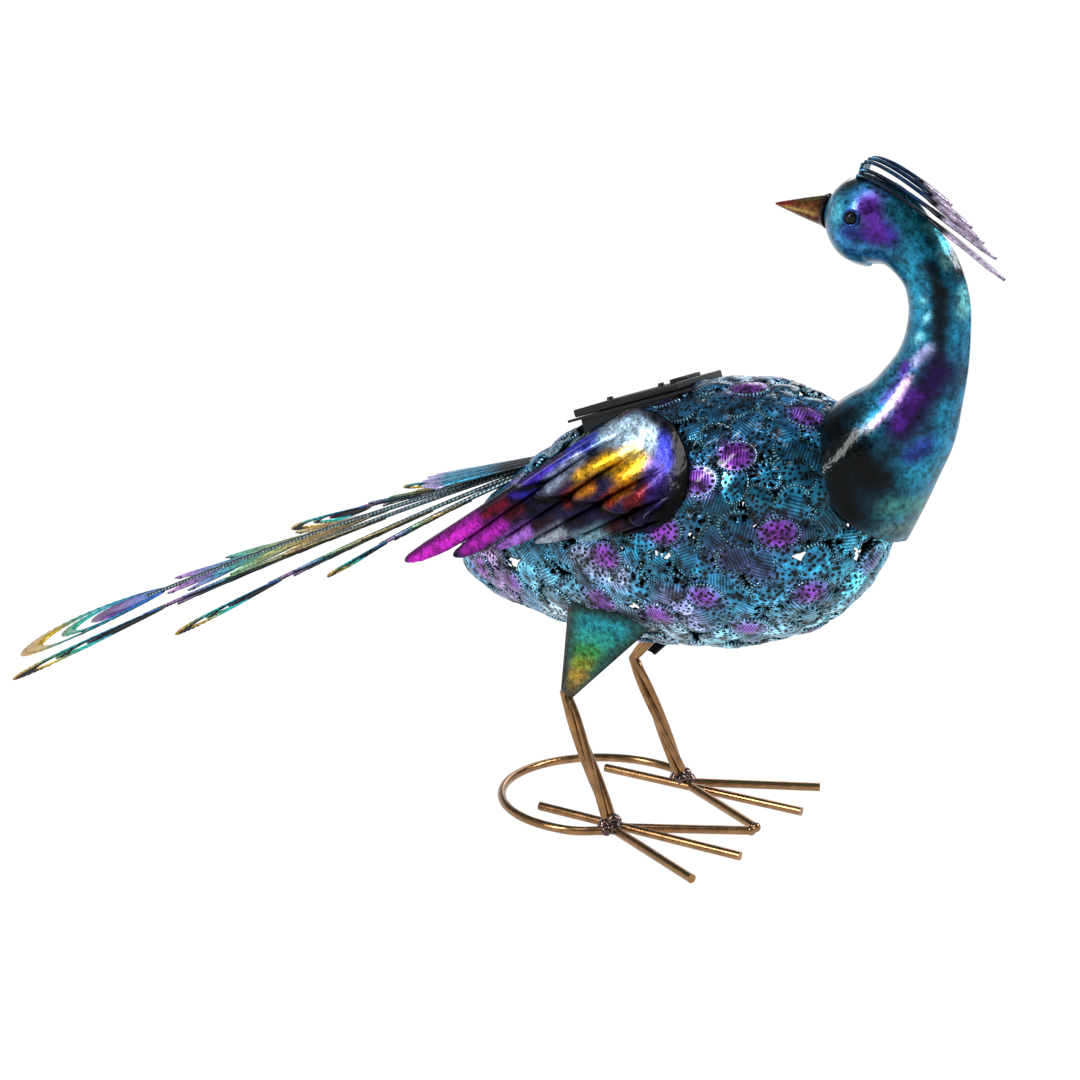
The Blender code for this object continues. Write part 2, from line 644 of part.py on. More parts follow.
def feather_stations(length):
    """Along a feather: share of the length, left and right half widths, and the half width of its opening."""
    shaft = TAIL_SHAFT / 2
    slim = min(1.0, 0.45 + length / (400 * MM))
    barb = TAIL_BARB_WIDTH / 2 * slim
    eye = TAIL_EYE_WIDTH / 2 * slim
    stations = [(0.0, shaft, 0.0), (0.3, shaft, 0.0)]
    for i in range(TAIL_BARBS):
        start = 0.3 + 0.34 * i / TAIL_BARBS
        swell = math.sin(math.pi * (i + 1) / (TAIL_BARBS + 1)) ** 0.5
        stations.append((start + 0.034, shaft + (barb - shaft) * swell, 0.0))
        stations.append((start + 0.055, shaft + (barb - shaft) * swell * 0.35, 0.0))
    stations.append((0.68, shaft, 0.0))
    for share, width, opening in (
        (0.73, 0.55, 0), (0.79, 0.85, 0), (0.85, 1.0, 0.0), (0.88, 0.98, 0.5), (0.93, 0.85, 0.5), (0.97, 0.6, 0.0), (1.0, 0.2, 0),
    ):
        stations.append((share, eye * width, eye * width * opening))
    return stations


def tail_feathers():
    """Cut sheet feathers: a shaft, swept barbs and a long oval eye with a window near its end."""
    for name, root_y, layer, tip, droop, roll in TAIL_FEATHERS:
        tip = Vector(tip) * MM
        root = TAIL_ROOT + Vector((0, root_y * MM, layer * TAIL_STACK_STEP))
        middle = (root + tip) / 2 + Vector((0, 0, droop * MM))
        bm = bmesh.new()
        last = None
        for share, width, opening in feather_stations((tip - root).length):
            place = root * (1 - share) ** 2 + middle * (2 * share * (1 - share)) + tip * share ** 2
            forward = (middle - root) * (1 - share) + (tip - middle) * share
            level = Vector((0, 0, 1)).cross(forward).normalized()
            sway = Matrix.Rotation(math.radians(roll) * min(1.0, share * 2), 3, forward.normalized())
            across = sway @ level
            reaches = (-width, -opening, opening, width) if opening else (-width, width)
            row = [bm.verts.new(place + across * reach) for reach in reaches]
            if last and len(last) == len(row) == 2:
                bm.faces.new((last[0], last[1], row[1], row[0]))
            elif last and len(last) == len(row) == 4:
                bm.faces.new((last[0], last[1], row[1], row[0]))
                bm.faces.new((last[2], last[3], row[3], row[2]))
            elif last and len(row) == 4:
                bm.faces.new((last[0], last[1], row[3], row[2], row[1], row[0]))
            elif last:
                bm.faces.new((last[0], last[1], last[2], last[3], row[1], row[0]))
            last = row
        obj = add_part(name, bm, "tail_enamel")
        solidify(obj, TAIL_SHEET, offset=0)
        boolean(obj, bpy.data.objects["body_seat"])


def tail_cover():
    """The grooved fan that covers the feathers' roots."""
    bm = bmesh.new()
    grid = []
    columns = 12
    front_x = TAIL_ROOT.x + 6 * MM
    for column in range(columns + 1):
        across = column / columns * 2 - 1
        line = []
        for row, along in enumerate((0.0, 0.35, 0.7, 1.0)):
            reach = along * (1 if column % 2 else 0.86) if row == 3 else along
            x = front_x - TAIL_COVER_LENGTH * reach * (1 - 0.18 * across * across)
            y = across * TAIL_COVER_WIDTH / 2 * (0.55 + 0.45 * along)
            z = TAIL_ROOT.z + TAIL_COVER_LIFT + (TAIL_COVER_GROOVE if column % 2 else 0)
            z -= (front_x - x) * TAIL_COVER_SLOPE + TAIL_COVER_ARCH * (2 * y / TAIL_COVER_WIDTH) ** 2
            line.append(bm.verts.new((x, y, z)))
        grid.append(line)
    for first, second in zip(grid, grid[1:]):
        for row in range(3):
            bm.faces.new((first[row], first[row + 1], second[row + 1], second[row]))
    obj = add_part("tail_cover", bm, "tail_enamel")
    solidify(obj, TAIL_SHEET, offset=0)
    boolean(obj, bpy.data.objects["body_seat"])


def centre_on_floor():
    """Puts the origin under the middle of the bird's box, on the floor."""
    bpy.context.view_layer.update()
    graph = bpy.context.evaluated_depsgraph_get()
    points = []
    for obj in bpy.data.collections["peacock"].objects:
        if obj.type != "EMPTY":
            mesh = bpy.data.meshes.new_from_object(obj.evaluated_get(graph))
            points += [vert.co.copy() for vert in mesh.vertices]
            bpy.data.meshes.remove(mesh)
    low = [min(point[axis] for point in points) for axis in range(3)]
    high = [max(point[axis] for point in points) for axis in range(3)]
    bpy.data.objects["peacock"].location = (-(low[0] + high[0]) / 2, -(low[1] + high[1]) / 2, -low[2])


def main():
    for obj in list(bpy.data.objects):
        bpy.data.objects.remove(obj, do_unlink=True)
    for name in ("peacock", "cutters"):
        bpy.context.scene.collection.children.link(bpy.data.collections.new(name))
    bpy.data.collections["peacock"].objects.link(bpy.data.objects.new("peacock", None))
    body_shell()
    neck_and_head()
    beak()
    eyes()
    crest()
    wings()
    back_panel()
    thighs()
    legs()
    feet()
    base_ring()
    tail_feathers()
    tail_cover()
    centre_on_floor()


main()
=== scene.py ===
# A garden peacock of pressed and pierced tinplate, sponged with bright lacquers, on bronzed wire legs.
# Shapes are worked out in mm from the middle of the feet, and turned to metres as each piece is made.
import json
import random
from math import atan2, copysign, cos, exp, pi, radians, sin, sqrt

import bmesh
import bpy
import numpy as np
from mathutils import Matrix, Vector


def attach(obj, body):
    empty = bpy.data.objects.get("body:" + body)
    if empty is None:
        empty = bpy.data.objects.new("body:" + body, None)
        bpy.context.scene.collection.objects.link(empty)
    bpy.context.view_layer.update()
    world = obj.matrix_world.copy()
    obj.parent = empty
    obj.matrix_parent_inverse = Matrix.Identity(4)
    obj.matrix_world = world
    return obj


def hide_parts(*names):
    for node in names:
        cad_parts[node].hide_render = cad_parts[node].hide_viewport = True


mm = 0.001
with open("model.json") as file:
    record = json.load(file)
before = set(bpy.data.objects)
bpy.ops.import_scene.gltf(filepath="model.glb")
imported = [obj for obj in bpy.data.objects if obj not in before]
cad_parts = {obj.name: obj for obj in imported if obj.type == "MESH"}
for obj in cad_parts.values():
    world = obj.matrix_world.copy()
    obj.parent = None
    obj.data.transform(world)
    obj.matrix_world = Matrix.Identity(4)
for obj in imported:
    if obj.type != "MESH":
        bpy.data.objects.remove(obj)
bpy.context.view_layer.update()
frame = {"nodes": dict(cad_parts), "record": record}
feet = Vector(frame["record"]["mounts"][0]["pos_m"])
feet.y = feet.z = 0
toFrame = Matrix.Translation(feet) @ Matrix.Scale(mm, 4)
random.seed(11)
print("frame loaded,", len(frame["nodes"]), "nodes")


# Small helpers

def linear(code):
    channels = [int(code[i : i + 2], 16) / 255 for i in (0, 2, 4)]
    return np.array([c / 12.92 if c <= 0.04045 else ((c + 0.055) / 1.055) ** 2.4 for c in channels] + [1.0])


def smoothStep(low, high, value):
    share = min(max((value - low) / (high - low), 0.0), 1.0)
    return share * share * (3 - 2 * share)


def newPiece(name, bm, coats, nodes, sharp=40):
    # every mesh is built in mm around the feet, and lands here in the frame
    bmesh.ops.transform(bm, matrix=toFrame, verts=bm.verts)
    mesh = bpy.data.meshes.new(name)
    bm.to_mesh(mesh)
    bm.free()
    piece = bpy.data.objects.new(name, mesh)
    bpy.context.collection.objects.link(piece)
    for coat in coats:
        mesh.materials.append(finishes[coat])
    mesh.shade_smooth()
    mesh.set_sharp_from_angle(angle=radians(sharp))
    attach(piece, "root")
    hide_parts(*nodes)
    return piece


def newPair(name, bm, coats, node, sharp=40):
    # the right piece as built, and the left one mirrored across the middle plane
    twin = bm.copy()
    bmesh.ops.scale(twin, vec=(1, -1, 1), verts=twin.verts)
    bmesh.ops.reverse_faces(twin, faces=twin.faces)
    return [
        newPiece(name + "Right", bm, coats, [node + "_right"], sharp),
        newPiece(name + "Left", twin, coats, [node + "_left"], sharp),
    ]


def thicken(piece, sheet, offset=-1):
    # sheet metal, painted on its face and black on its back
    solidify = piece.modifiers.new("sheet", "SOLIDIFY")
    solidify.thickness = sheet * mm
    solidify.offset = offset
    solidify.material_offset = 1


def turned(place, forward, side=Vector((0, 1, 0))):
    # Z along forward, Y near side
    z = forward.normalized()
    x = side.cross(z).normalized()
    return Matrix.Translation(place) @ Matrix((x, z.cross(x), z)).transposed().to_4x4()


def addLoop(bm, matrix, sides, halfX, halfY, shape=1.0):
    # one ring of edges; shape under 1 squares it, over 1 pinches it to a diamond
    ring = bmesh.ops.create_circle(bm, segments=sides, radius=1)["verts"]
    for vert in ring:
        x, y = vert.co.xy
        vert.co = (copysign(abs(x) ** shape, x) * halfX, copysign(abs(y) ** shape, y) * halfY, 0)
    bmesh.ops.transform(bm, matrix=matrix, verts=ring)
    return list({edge for vert in ring for edge in vert.link_edges})


def skin(bm, loops, capStart=True, capEnd=True):
    for first, second in zip(loops, loops[1:]):
        bmesh.ops.bridge_loops(bm, edges=first + second)
    for loop, capped in ((loops[0], capStart), (loops[-1], capEnd)):
        if capped:
            bmesh.ops.edgeloop_fill(bm, edges=loop)


def addTube(bm, stations, sides, side=Vector((0, 1, 0)), capStart=True):
    # stations are places with the tube's two widths there: across the side's way, and along it
    loops = []
    for i, (place, across, along) in enumerate(stations):
        before, after = stations[max(i - 1, 0)][0], stations[min(i + 1, len(stations) - 1)][0]
        loops.append(addLoop(bm, turned(place, after - before, side), sides, across / 2, along / 2))
    skin(bm, loops, capStart)


def addGrid(bm, columns, rows):
    # each vertex with how far across, -1 to 1, and along, 0 to 1, it lies
    grid = bmesh.ops.create_grid(bm, x_segments=columns, y_segments=rows, size=1)["verts"]
    return [(vert, vert.co.x, (vert.co.y + 1) / 2) for vert in grid]


def addBox(bm, place, size):
    box = bmesh.ops.create_cube(bm, size=1)["verts"]
    bmesh.ops.transform(bm, matrix=Matrix.Translation(place) @ Matrix.Diagonal((*size, 1)), verts=box)
    return box


def coatSecond(verts):
    # the faces at these vertices take the piece's second coat
    for face in {face for vert in verts for face in vert.link_faces}:
        face.material_index = 1


def bent(start, middle, end, share):
    # the place at a share of the way along a bent line
    return start * (1 - share) ** 2 + middle * (2 * share * (1 - share)) + end * share ** 2


def soften(bm, edges, width, steps):
    bmesh.ops.bevel(
        bm, geom=edges, offset=width, offset_type="OFFSET", affect="EDGES", segments=steps, profile=0.5,
        material=-1,
    )


def outward(bm):
    bmesh.ops.recalc_face_normals(bm, faces=bm.faces)


def facing(faces, way):
    # an open sheet has no outside, so its faces are turned one way
    for face in faces:
        face.normal_update()
        if face.normal.dot(Vector(way)) < 0:
            face.normal_flip()


def sprayed(places, paint):
    # an airbrush held square to the side: strokes run from x, z to x, z, and fade out over their reach
    colours = np.tile(linear(paint["ground"]), (len(places), 1))
    for startX, startZ, endX, endZ, reach, code, strength in paint["strokes"]:
        start, run = np.array((startX, startZ), float), np.array((endX, endZ), float)
        run -= start
        share = np.clip(((places - start) @ run) / max(run @ run, 1e-6), 0, 1)
        gap = np.linalg.norm(places - start - share[:, None] * run, axis=1) / reach
        weight = (strength * np.exp(-gap ** 3))[:, None]
        colours = colours * (1 - weight) + weight * linear(code)
    return colours


def airbrush(bm, paint):
    layer = bm.verts.layers.float_color.new("paint")
    places = np.array([vert.co.xz for vert in bm.verts])
    for vert, colour in zip(bm.verts, sprayed(places, paint)):
        vert[layer] = colour


def ramp(stops, value):
    # the colour at a value, between the nearest of the (value, colour) stops
    places = [place for place, code in stops]
    return np.array([np.interp(value, places, [linear(code)[i] for place, code in stops]) for i in range(4)])


def addNode(tree, kind, inputs=None, output=0, **settings):
    # a node with its settings, values and links, of which it gives one output
    made = tree.nodes.new("ShaderNode" + kind)
    for key, value in settings.items():
        setattr(made, key, value)
    for key, value in (inputs or {}).items():
        if isinstance(value, bpy.types.NodeSocket):
            tree.links.new(value, made.inputs[key])
        else:
            made.inputs[key].default_value = value
    return made.outputs[output]


def newFinish(name, **sockets):
    finish = bpy.data.materials.new(name)
    finish.use_nodes = True
    shader = finish.node_tree.nodes["Principled BSDF"]
    for key, value in sockets.items():
        shader.inputs[key.replace("_", " ")].default_value = value
    return finish, finish.node_tree, shader


def connect(tree, shader, **sockets):
    for key, value in sockets.items():
        tree.links.new(value, shader.inputs[key.replace("_", " ")])


# Camera and studio

view = {"place": (425, -745, 346.5), "pitch": 14.4, "turn": 33, "focal": 2000, "frame": 1080}


def addCamera():
    camera = bpy.data.objects.new("camera", bpy.data.cameras.new("camera"))
    camera.data.lens = view["focal"] / view["frame"] * camera.data.sensor_width
    camera.location = toFrame @ Vector(view["place"])
    camera.rotation_euler = (pi / 2 - radians(view["pitch"]), 0, radians(view["turn"]))
    bpy.context.collection.objects.link(camera)
    bpy.context.scene.camera = camera


studio = {
    "sky": ("DDE2EA", 0.35),
    "paper": ("5E5E5E", 0.96),
    "lamps": (
        # name, azimuth, height above the bird, distance, size, watts
        ("keySoftbox", -58, 0.75, 1.1, (0.2, 0.7), 12),
        ("sideSoftbox", 92, 0.8, 0.95, (0.16, 0.6), 11),
        ("topSoftbox", -20, 1.3, 0.4, (0.4, 0.4), 2.5),
        ("rimSoftbox", 165, 0.6, 1.2, (0.5, 0.6), 3),
    ),
    "sweep": (12, 3.6),
}


def addStudio():
    scene = bpy.context.scene
    scene.view_settings.view_transform = "Standard"
    scene.view_settings.look = "None"
    world = bpy.data.worlds.new("softStudio")
    world.use_nodes = True
    sky = world.node_tree.nodes["Background"]
    sky.inputs["Color"].default_value = linear(studio["sky"][0])
    sky.inputs["Strength"].default_value = studio["sky"][1]
    scene.world = world
    middle = Vector((feet.x, 0, 0.15))
    for name, azimuth, height, distance, size, watts in studio["lamps"]:
        lamp = bpy.data.lights.new(name, "AREA")
        lamp.shape = "RECTANGLE"
        lamp.size, lamp.size_y = size
        lamp.energy = watts
        holder = bpy.data.objects.new(name, lamp)
        angle = radians(azimuth - 90 + view["turn"])
        holder.location = middle + Vector((cos(angle) * distance, sin(angle) * distance, height))
        holder.rotation_euler = (middle - holder.location).to_track_quat("-Z", "Y").to_euler()
        bpy.context.collection.objects.link(holder)
    # floor and a wall all round it, of matt paper lit through from behind, so that it stays evenly pale
    radius, height = studio["sweep"]
    bm = bmesh.new()
    bmesh.ops.create_circle(bm, cap_ends=True, segments=96, radius=radius)
    brink = [edge for edge in bm.edges if edge.is_boundary]
    wall = bmesh.ops.extrude_edge_only(bm, edges=brink)["geom"]
    bmesh.ops.translate(bm, verts=[v for v in wall if isinstance(v, bmesh.types.BMVert)], vec=(0, 0, height))
    mesh = bpy.data.meshes.new("floor")
    bm.to_mesh(mesh)
    bm.free()
    floor = bpy.data.objects.new("floor", mesh)
    bpy.context.collection.objects.link(floor)
    paper, tree, shader = newFinish("paperSweep", Roughness=0.95, Emission_Strength=studio["paper"][1])
    shader.inputs["Base Color"].default_value = linear(studio["paper"][0])
    shader.inputs["Emission Color"].default_value = linear("FFFFFF")
    mesh.materials.append(paper)


# Finishes

def spongedLacquer(name, dab, darkest, palest, gloss=0.8, metal=0.75):
    # transparent lacquers sponged over bright tinplate: metal shows through, wet-looking, with dark dabs
    # dab is the mm from one dab to the next, with flecks at about a third of that, and dents 7 mm apart
    finish, tree, shader = newFinish(
        name, Metallic=metal, Specular_IOR_Level=0.1, Coat_Weight=gloss, Coat_Roughness=0.07, Coat_IOR=1.3,
    )
    place = addNode(tree, "TexCoord", output="Object")
    paint = addNode(tree, "Attribute", output="Color", attribute_name="paint")
    blot = addNode(tree, "TexNoise", {
        "Vector": place, "Scale": 1 / (dab * mm), "Detail": 5, "Roughness": 0.62, "Distortion": 0.4,
    })
    fleck = addNode(tree, "TexNoise", {
        "Vector": place, "Scale": 1 / (dab * 0.35 * mm), "Detail": 3, "Roughness": 0.7,
    })
    broad = addNode(tree, "MapRange", {0: blot, 1: 0.36, 2: 0.62, 3: darkest, 4: palest})
    fine = addNode(tree, "MapRange", {0: fleck, 1: 0.34, 2: 0.5, 3: 0.35})
    tone = addNode(tree, "Math", {0: broad, 1: fine}, operation="MULTIPLY")
    dents = addNode(tree, "TexNoise", {"Vector": place, "Scale": 1 / (7 * mm), "Detail": 3})
    dent = addNode(tree, "Bump", {"Strength": 0.35, "Distance": 1.2 * mm, "Height": dents})
    connect(
        tree, shader, Coat_Normal=dent,
        Base_Color=addNode(tree, "VectorMath", {"Vector": paint, "Scale": tone}, operation="SCALE"),
        Roughness=addNode(tree, "MapRange", {0: fleck, 1: 0.3, 2: 0.7, 3: 0.2, 4: 0.42}),
        Normal=addNode(tree, "Bump", {
            "Strength": 0.12, "Distance": 0.2 * mm, "Height": fleck, "Normal": dent,
        }),
    )
    return finish


def stampedFiligree(name, ticks, holes, hatch):
    # stamped tinplate lace: corded rims catch pale light, pin holes and hatching darken each oval's middle
    # 36 ticks round an oval lie 1.5 mm apart, as coarse as they have to be to show
    finish, tree, shader = newFinish(
        name, Metallic=0.75, Specular_IOR_Level=0.2, Coat_Weight=0.3, Coat_Roughness=0.12,
    )
    place = addNode(tree, "TexCoord", output="Object")
    oval = addNode(tree, "UVMap", uv_map="petal")
    paint = addNode(tree, "Attribute", output="Color", attribute_name="paint")
    stamp = addNode(tree, "Attribute", output="Fac", attribute_name="stamp")
    x, y, z = addNode(tree, "SeparateXYZ", {0: oval}).node.outputs
    reach = addNode(tree, "VectorMath", {0: oval}, output="Value", operation="LENGTH")
    angle = addNode(tree, "Math", {0: y, 1: x}, operation="ARCTAN2")

    def wave(value, times, low, high, dark):
        turns = addNode(tree, "Math", {0: value, 1: float(times)}, operation="MULTIPLY")
        sine = addNode(tree, "Math", {0: turns}, operation="SINE")
        return addNode(tree, "MapRange", {0: sine, 1: low, 2: high, 3: dark})

    rim = addNode(tree, "MapRange", {0: reach, 1: 0.84, 2: 0.88})
    # the rim's ticks, with painted shade between them
    rimTick = wave(angle, ticks, -0.4, 0.5, 0.0)
    # a ring of slots inside the rim
    fromBand = addNode(tree, "Math", {0: reach, 1: 0.68}, operation="SUBTRACT")
    offBand = addNode(tree, "Math", {0: fromBand}, operation="ABSOLUTE")
    besides = addNode(tree, "MapRange", {0: offBand, 1: 0.06, 2: 0.09})
    slots = addNode(tree, "Math", {0: besides, 1: wave(angle, holes, -0.1, 0.3, 0.0)}, operation="MAXIMUM")
    # pin holes about 2 mm apart, and fine ridges
    spread = addNode(tree, "VectorMath", {0: oval, 1: (9.3, 6.8, 1.0)}, operation="MULTIPLY")
    moved = addNode(tree, "VectorMath", {0: spread, 1: stamp}, operation="ADD")
    pin = addNode(
        tree, "TexVoronoi", {"Vector": moved, "Scale": 0.46, "Randomness": 0.9}, output="Distance",
        voronoi_dimensions="2D",
    )
    pins = addNode(tree, "MapRange", {0: pin, 1: 0.26, 2: 0.33})
    ridges = wave(x, hatch, -0.6, 0.6, 0.3)
    # some ovals are hatched and some slotted, and the others have pin holes
    hatched = addNode(tree, "Math", {0: stamp, 1: 0.5}, operation="GREATER_THAN")
    slotted = addNode(tree, "Math", {0: stamp, 1: 0.35}, operation="GREATER_THAN")
    centre = addNode(tree, "Mix", {0: hatched, 2: pins, 3: ridges})
    band = addNode(tree, "Mix", {0: slotted, 2: pins, 3: slots})
    inner = addNode(tree, "MapRange", {0: reach, 1: 0.54, 2: 0.57})
    middle = addNode(tree, "Mix", {0: inner, 2: centre, 3: band})
    pattern = addNode(tree, "Mix", {0: rim, 2: middle, 3: rimTick})
    # a painted shade line in the groove inside the rim
    groove = addNode(tree, "Math", {0: reach, 1: 0.835, 2: 0.025}, operation="COMPARE")
    grooveShade = addNode(tree, "MapRange", {0: groove, 3: 1.0, 4: 0.15})
    shade = addNode(tree, "Math", {0: pattern, 1: grooveShade}, operation="MULTIPLY")
    # the lacquer is dabbed on, so it is uneven over neighbouring ovals
    blot = addNode(tree, "TexNoise", {"Vector": place, "Scale": 1 / (5 * mm), "Detail": 4, "Roughness": 0.65})
    dab = addNode(tree, "MapRange", {0: blot, 1: 0.38, 2: 0.62, 3: 0.1, 4: 2.1})
    deep = addNode(tree, "MapRange", {0: shade, 3: 0.03})
    tone = addNode(tree, "Math", {0: deep, 1: dab}, operation="MULTIPLY")
    painted = addNode(tree, "VectorMath", {"Vector": paint, "Scale": tone}, operation="SCALE")
    # and a painted pale blue highlight on the rims' ticks
    rimGlint = rim
    for part in (rimTick, dab, 0.5):
        rimGlint = addNode(tree, "Math", {0: rimGlint, 1: part}, operation="MULTIPLY")
    pale = {0: rimGlint, 6: painted, 7: linear("8FD8EC")}
    connect(
        tree, shader, Base_Color=addNode(tree, "Mix", pale, output=2, data_type="RGBA"),
        Roughness=addNode(tree, "MapRange", {0: shade, 3: 0.7, 4: 0.32}),
        Normal=addNode(tree, "Bump", {"Strength": 0.8, "Distance": 0.35 * mm, "Height": shade}),
    )
    return finish


def stoveBlack(name, code):
    # matt stove-black on the back of the sheet, sooty in spots 3 mm apart: no shine, so gaps read as dark
    finish, tree, shader = newFinish(name, Specular_IOR_Level=0.1)
    place = addNode(tree, "TexCoord", output="Object")
    darkening = addNode(tree, "TexNoise", {"Vector": place, "Scale": 1 / (3 * mm), "Detail": 3})
    colour = {"Vector": linear(code)[:3], "Scale": addNode(tree, "MapRange", {0: darkening, 3: 0.6, 4: 1.4})}
    connect(
        tree, shader, Base_Color=addNode(tree, "VectorMath", colour, operation="SCALE"),
        Roughness=addNode(tree, "MapRange", {0: darkening, 3: 0.7, 4: 0.9}),
    )
    return finish


def bronzedWire(name, code, rough):
    # drawn steel wire under an antique bronze wash: warm blotches 6 mm apart, bright on top
    # the marks of drawing are finer than 0.8 mm, and are drawn at that so that they show
    finish, tree, shader = newFinish(name, Metallic=1.0, Coat_Weight=0.25, Coat_Roughness=0.15)
    place = addNode(tree, "TexCoord", output="Object")
    wash = addNode(tree, "TexNoise", {"Vector": place, "Scale": 1 / (6 * mm), "Detail": 5, "Roughness": 0.6})
    grain = addNode(tree, "TexNoise", {"Vector": place, "Scale": 1 / (0.8 * mm), "Detail": 2})
    tone = addNode(tree, "MapRange", {0: wash, 1: 0.35, 2: 0.65, 3: 0.7, 4: 1.2})
    colour = {"Vector": linear(code)[:3], "Scale": tone}
    connect(
        tree, shader, Base_Color=addNode(tree, "VectorMath", colour, operation="SCALE"),
        Roughness=addNode(tree, "MapRange", {0: wash, 3: rough, 4: rough + 0.15}),
        Normal=addNode(tree, "Bump", {"Strength": 0.15, "Distance": 0.15 * mm, "Height": grain}),
    )
    return finish


def charcoalEnamel(name, code, rough):
    # thin black enamel over sheet steel: even, satin, with a faint orange peel 1.2 mm apart
    finish, tree, shader = newFinish(
        name, Metallic=0.35, Specular_IOR_Level=0.25, Coat_Weight=0.1, Coat_Roughness=0.1,
    )
    place = addNode(tree, "TexCoord", output="Object")
    peel = addNode(tree, "TexNoise", {"Vector": place, "Scale": 1 / (1.2 * mm), "Detail": 3})
    colour = {"Vector": linear(code)[:3], "Scale": addNode(tree, "MapRange", {0: peel, 3: 0.7, 4: 1.4})}
    connect(
        tree, shader, Base_Color=addNode(tree, "VectorMath", colour, operation="SCALE"),
        Roughness=addNode(tree, "MapRange", {0: peel, 3: rough, 4: rough + 0.2}),
        Normal=addNode(tree, "Bump", {"Strength": 0.2, "Distance": 0.1 * mm, "Height": peel}),
    )
    return finish


finishes = {
    "neck": spongedLacquer("neckLacquer", 4.5, 0.35, 1.35, gloss=0.4),
    "wing": spongedLacquer("wingLacquer", 3.2, 0.4, 1.3, gloss=0.18),
    "thigh": spongedLacquer("thighLacquer", 2.6, 0.35, 1.25, gloss=0.2, metal=0.5),
    "tail": spongedLacquer("tailLacquer", 2.4, 0.75, 1.6, gloss=0.4, metal=0.6),
    "beak": spongedLacquer("beakLacquer", 2.6, 0.4, 1.05, gloss=0.5, metal=0.6),
    "crest": spongedLacquer("crestLacquer", 4.0, 0.5, 1.3, gloss=0.6),
    "filigree": stampedFiligree("stampedFiligree", ticks=36, holes=13, hatch=50),
    "inside": stoveBlack("blackedInside", "0B0D0F"),
    "wire": bronzedWire("bronzedWire", "926C46", 0.14),
    "weld": bronzedWire("weldSlag", "5E4C48", 0.12),
    "tray": charcoalEnamel("charcoalEnamel", "141618", 0.3),
    "under": stoveBlack("blackedUnderside", "16181D"),
    "cell": charcoalEnamel("solarCell", "0A1222", 0.12),
    "bead": charcoalEnamel("eyeBead", "020203", 0.05),
}
print("finishes mixed")


# Pierced body: rosettes of stamped ovals over an egg

shell = {
    "centre": Vector((6, 0, 138.8)), "length": 208, "width": 98, "height": 109,
    "egg": 0.33, "rise": 0.195, "sag": 0.187,
    # what lies deeper than this share of the way out is left off, being out of sight
    "hidden": 0.97,
}
petal = {
    "sides": 20,
    "rings": ((1.0, -0.2), (0.9, 0.5), (0.79, 0.1), (0.46, 0.5)),
    "middle": 0.6, "crown": 1.1, "tilt": 0.7,
    "long": 9.9, "wide": 7.2, "out": 11.5, "count": 7, "sheet": 0.5,
    # least distance between hearts, between ovals, and the gap that gets one more
    "apart": 27, "near": 7.6, "gap": 9.4,
}
bodyPaint = {
    "ground": "2384AC",
    "strokes": (
        # the dark strokes over the top and the pale ones underneath are partly the lacquer's colours and
        # partly painted reflection, dark from above and pale from the floor
        (-60, 178, 110, 208, 20, "1C4E70", 0.9), (20, 185, 90, 185, 14, "1C5C80", 0.6),
        (60, 150, 105, 165, 20, "16566E", 0.75), (55, 145, 85, 148, 12, "1A3A5C", 0.6),
        (30, 98, -30, 98, 13, "A8C4DC", 0.85), (100, 108, 50, 90, 15, "8CCCE8", 0.85),
        (-70, 118, -62, 105, 13, "B993CC", 0.85), (-45, 112, -20, 112, 12, "64B0D2", 0.6),
        (-8, 128, 12, 124, 8, "9C98B8", 0.7), (36, 116, 44, 106, 7, "A48CC8", 0.6),
        (62, 138, 76, 132, 8, "3A2454", 0.75), (118, 145, 108, 125, 12, "4FC4E4", 0.8),
        (100, 195, 108, 168, 14, "050C0E", 0.97), (-20, 103, 20, 103, 5, "0C1418", 0.8),
    ),
    "oval": "7A249E", "spot": 7.2,
    # hearts of the flowers that show, by x and z
    "hearts": (
        (61.5, 178.3), (35.4, 146.8), (6.7, 131.5), (51.1, 120.1), (90.6, 124.4), (-53.7, 106.8), (0.1, 110),
        (27.6, 107.9), (64.7, 105.7), (17.7, 193.8), (52.0, 200.4), (82, 150), (-76, 108), (48.5, 168),
    ),
    # places open right through, on the near side and on the far side behind it
    "open": (
        ((101.4, -16.4, 170.2), 4.5), ((74.2, 44.7, 155.4), 6), ((89.3, -36, 140.7), 3),
        ((51.4, 43.9, 117.4), 4.5), ((77.3, -38, 124.7), 2.6), ((41.9, 34.1, 102), 4),
        ((-51, -32.3, 115.9), 2.8), ((-82.1, 14.2, 100.9), 4), ((16.4, -42.2, 110.5), 2.4),
        ((-19.5, 19.7, 89.8), 4), ((104.8, -17.3, 139.6), 2.6), ((81.2, 36.3, 124.3), 4),
    ),
}


def eggBend(along):
    # the egg leans up towards its front end, and sags at both
    return shell["rise"] * along - shell["sag"] * along * along / shell["length"]


def eggPoint(unit):
    along = shell["length"] / 2 * unit.x
    swell = (1 + shell["egg"] * unit.x) / 2
    up = shell["height"] * swell * unit.z + eggBend(along)
    return shell["centre"] + Vector((along, shell["width"] * swell * unit.y, up))


def eggUnit(place):
    # the way from the egg's middle to a place, and how many shells out the place is
    along = place.x - shell["centre"].x
    forward = along / (shell["length"] / 2)
    swell = (1 + shell["egg"] * min(max(forward, -1), 1)) / 2
    up = place.z - shell["centre"].z - eggBend(along)
    way = Vector((forward, place.y / (shell["width"] * swell), up / (shell["height"] * swell)))
    return way.normalized(), way.length


def eggNormal(unit):
    first = unit.orthogonal().normalized()
    second = unit.cross(first)
    here = eggPoint(unit)
    return (eggPoint(unit + first * 0.02) - here).cross(eggPoint(unit + second * 0.02) - here).normalized()


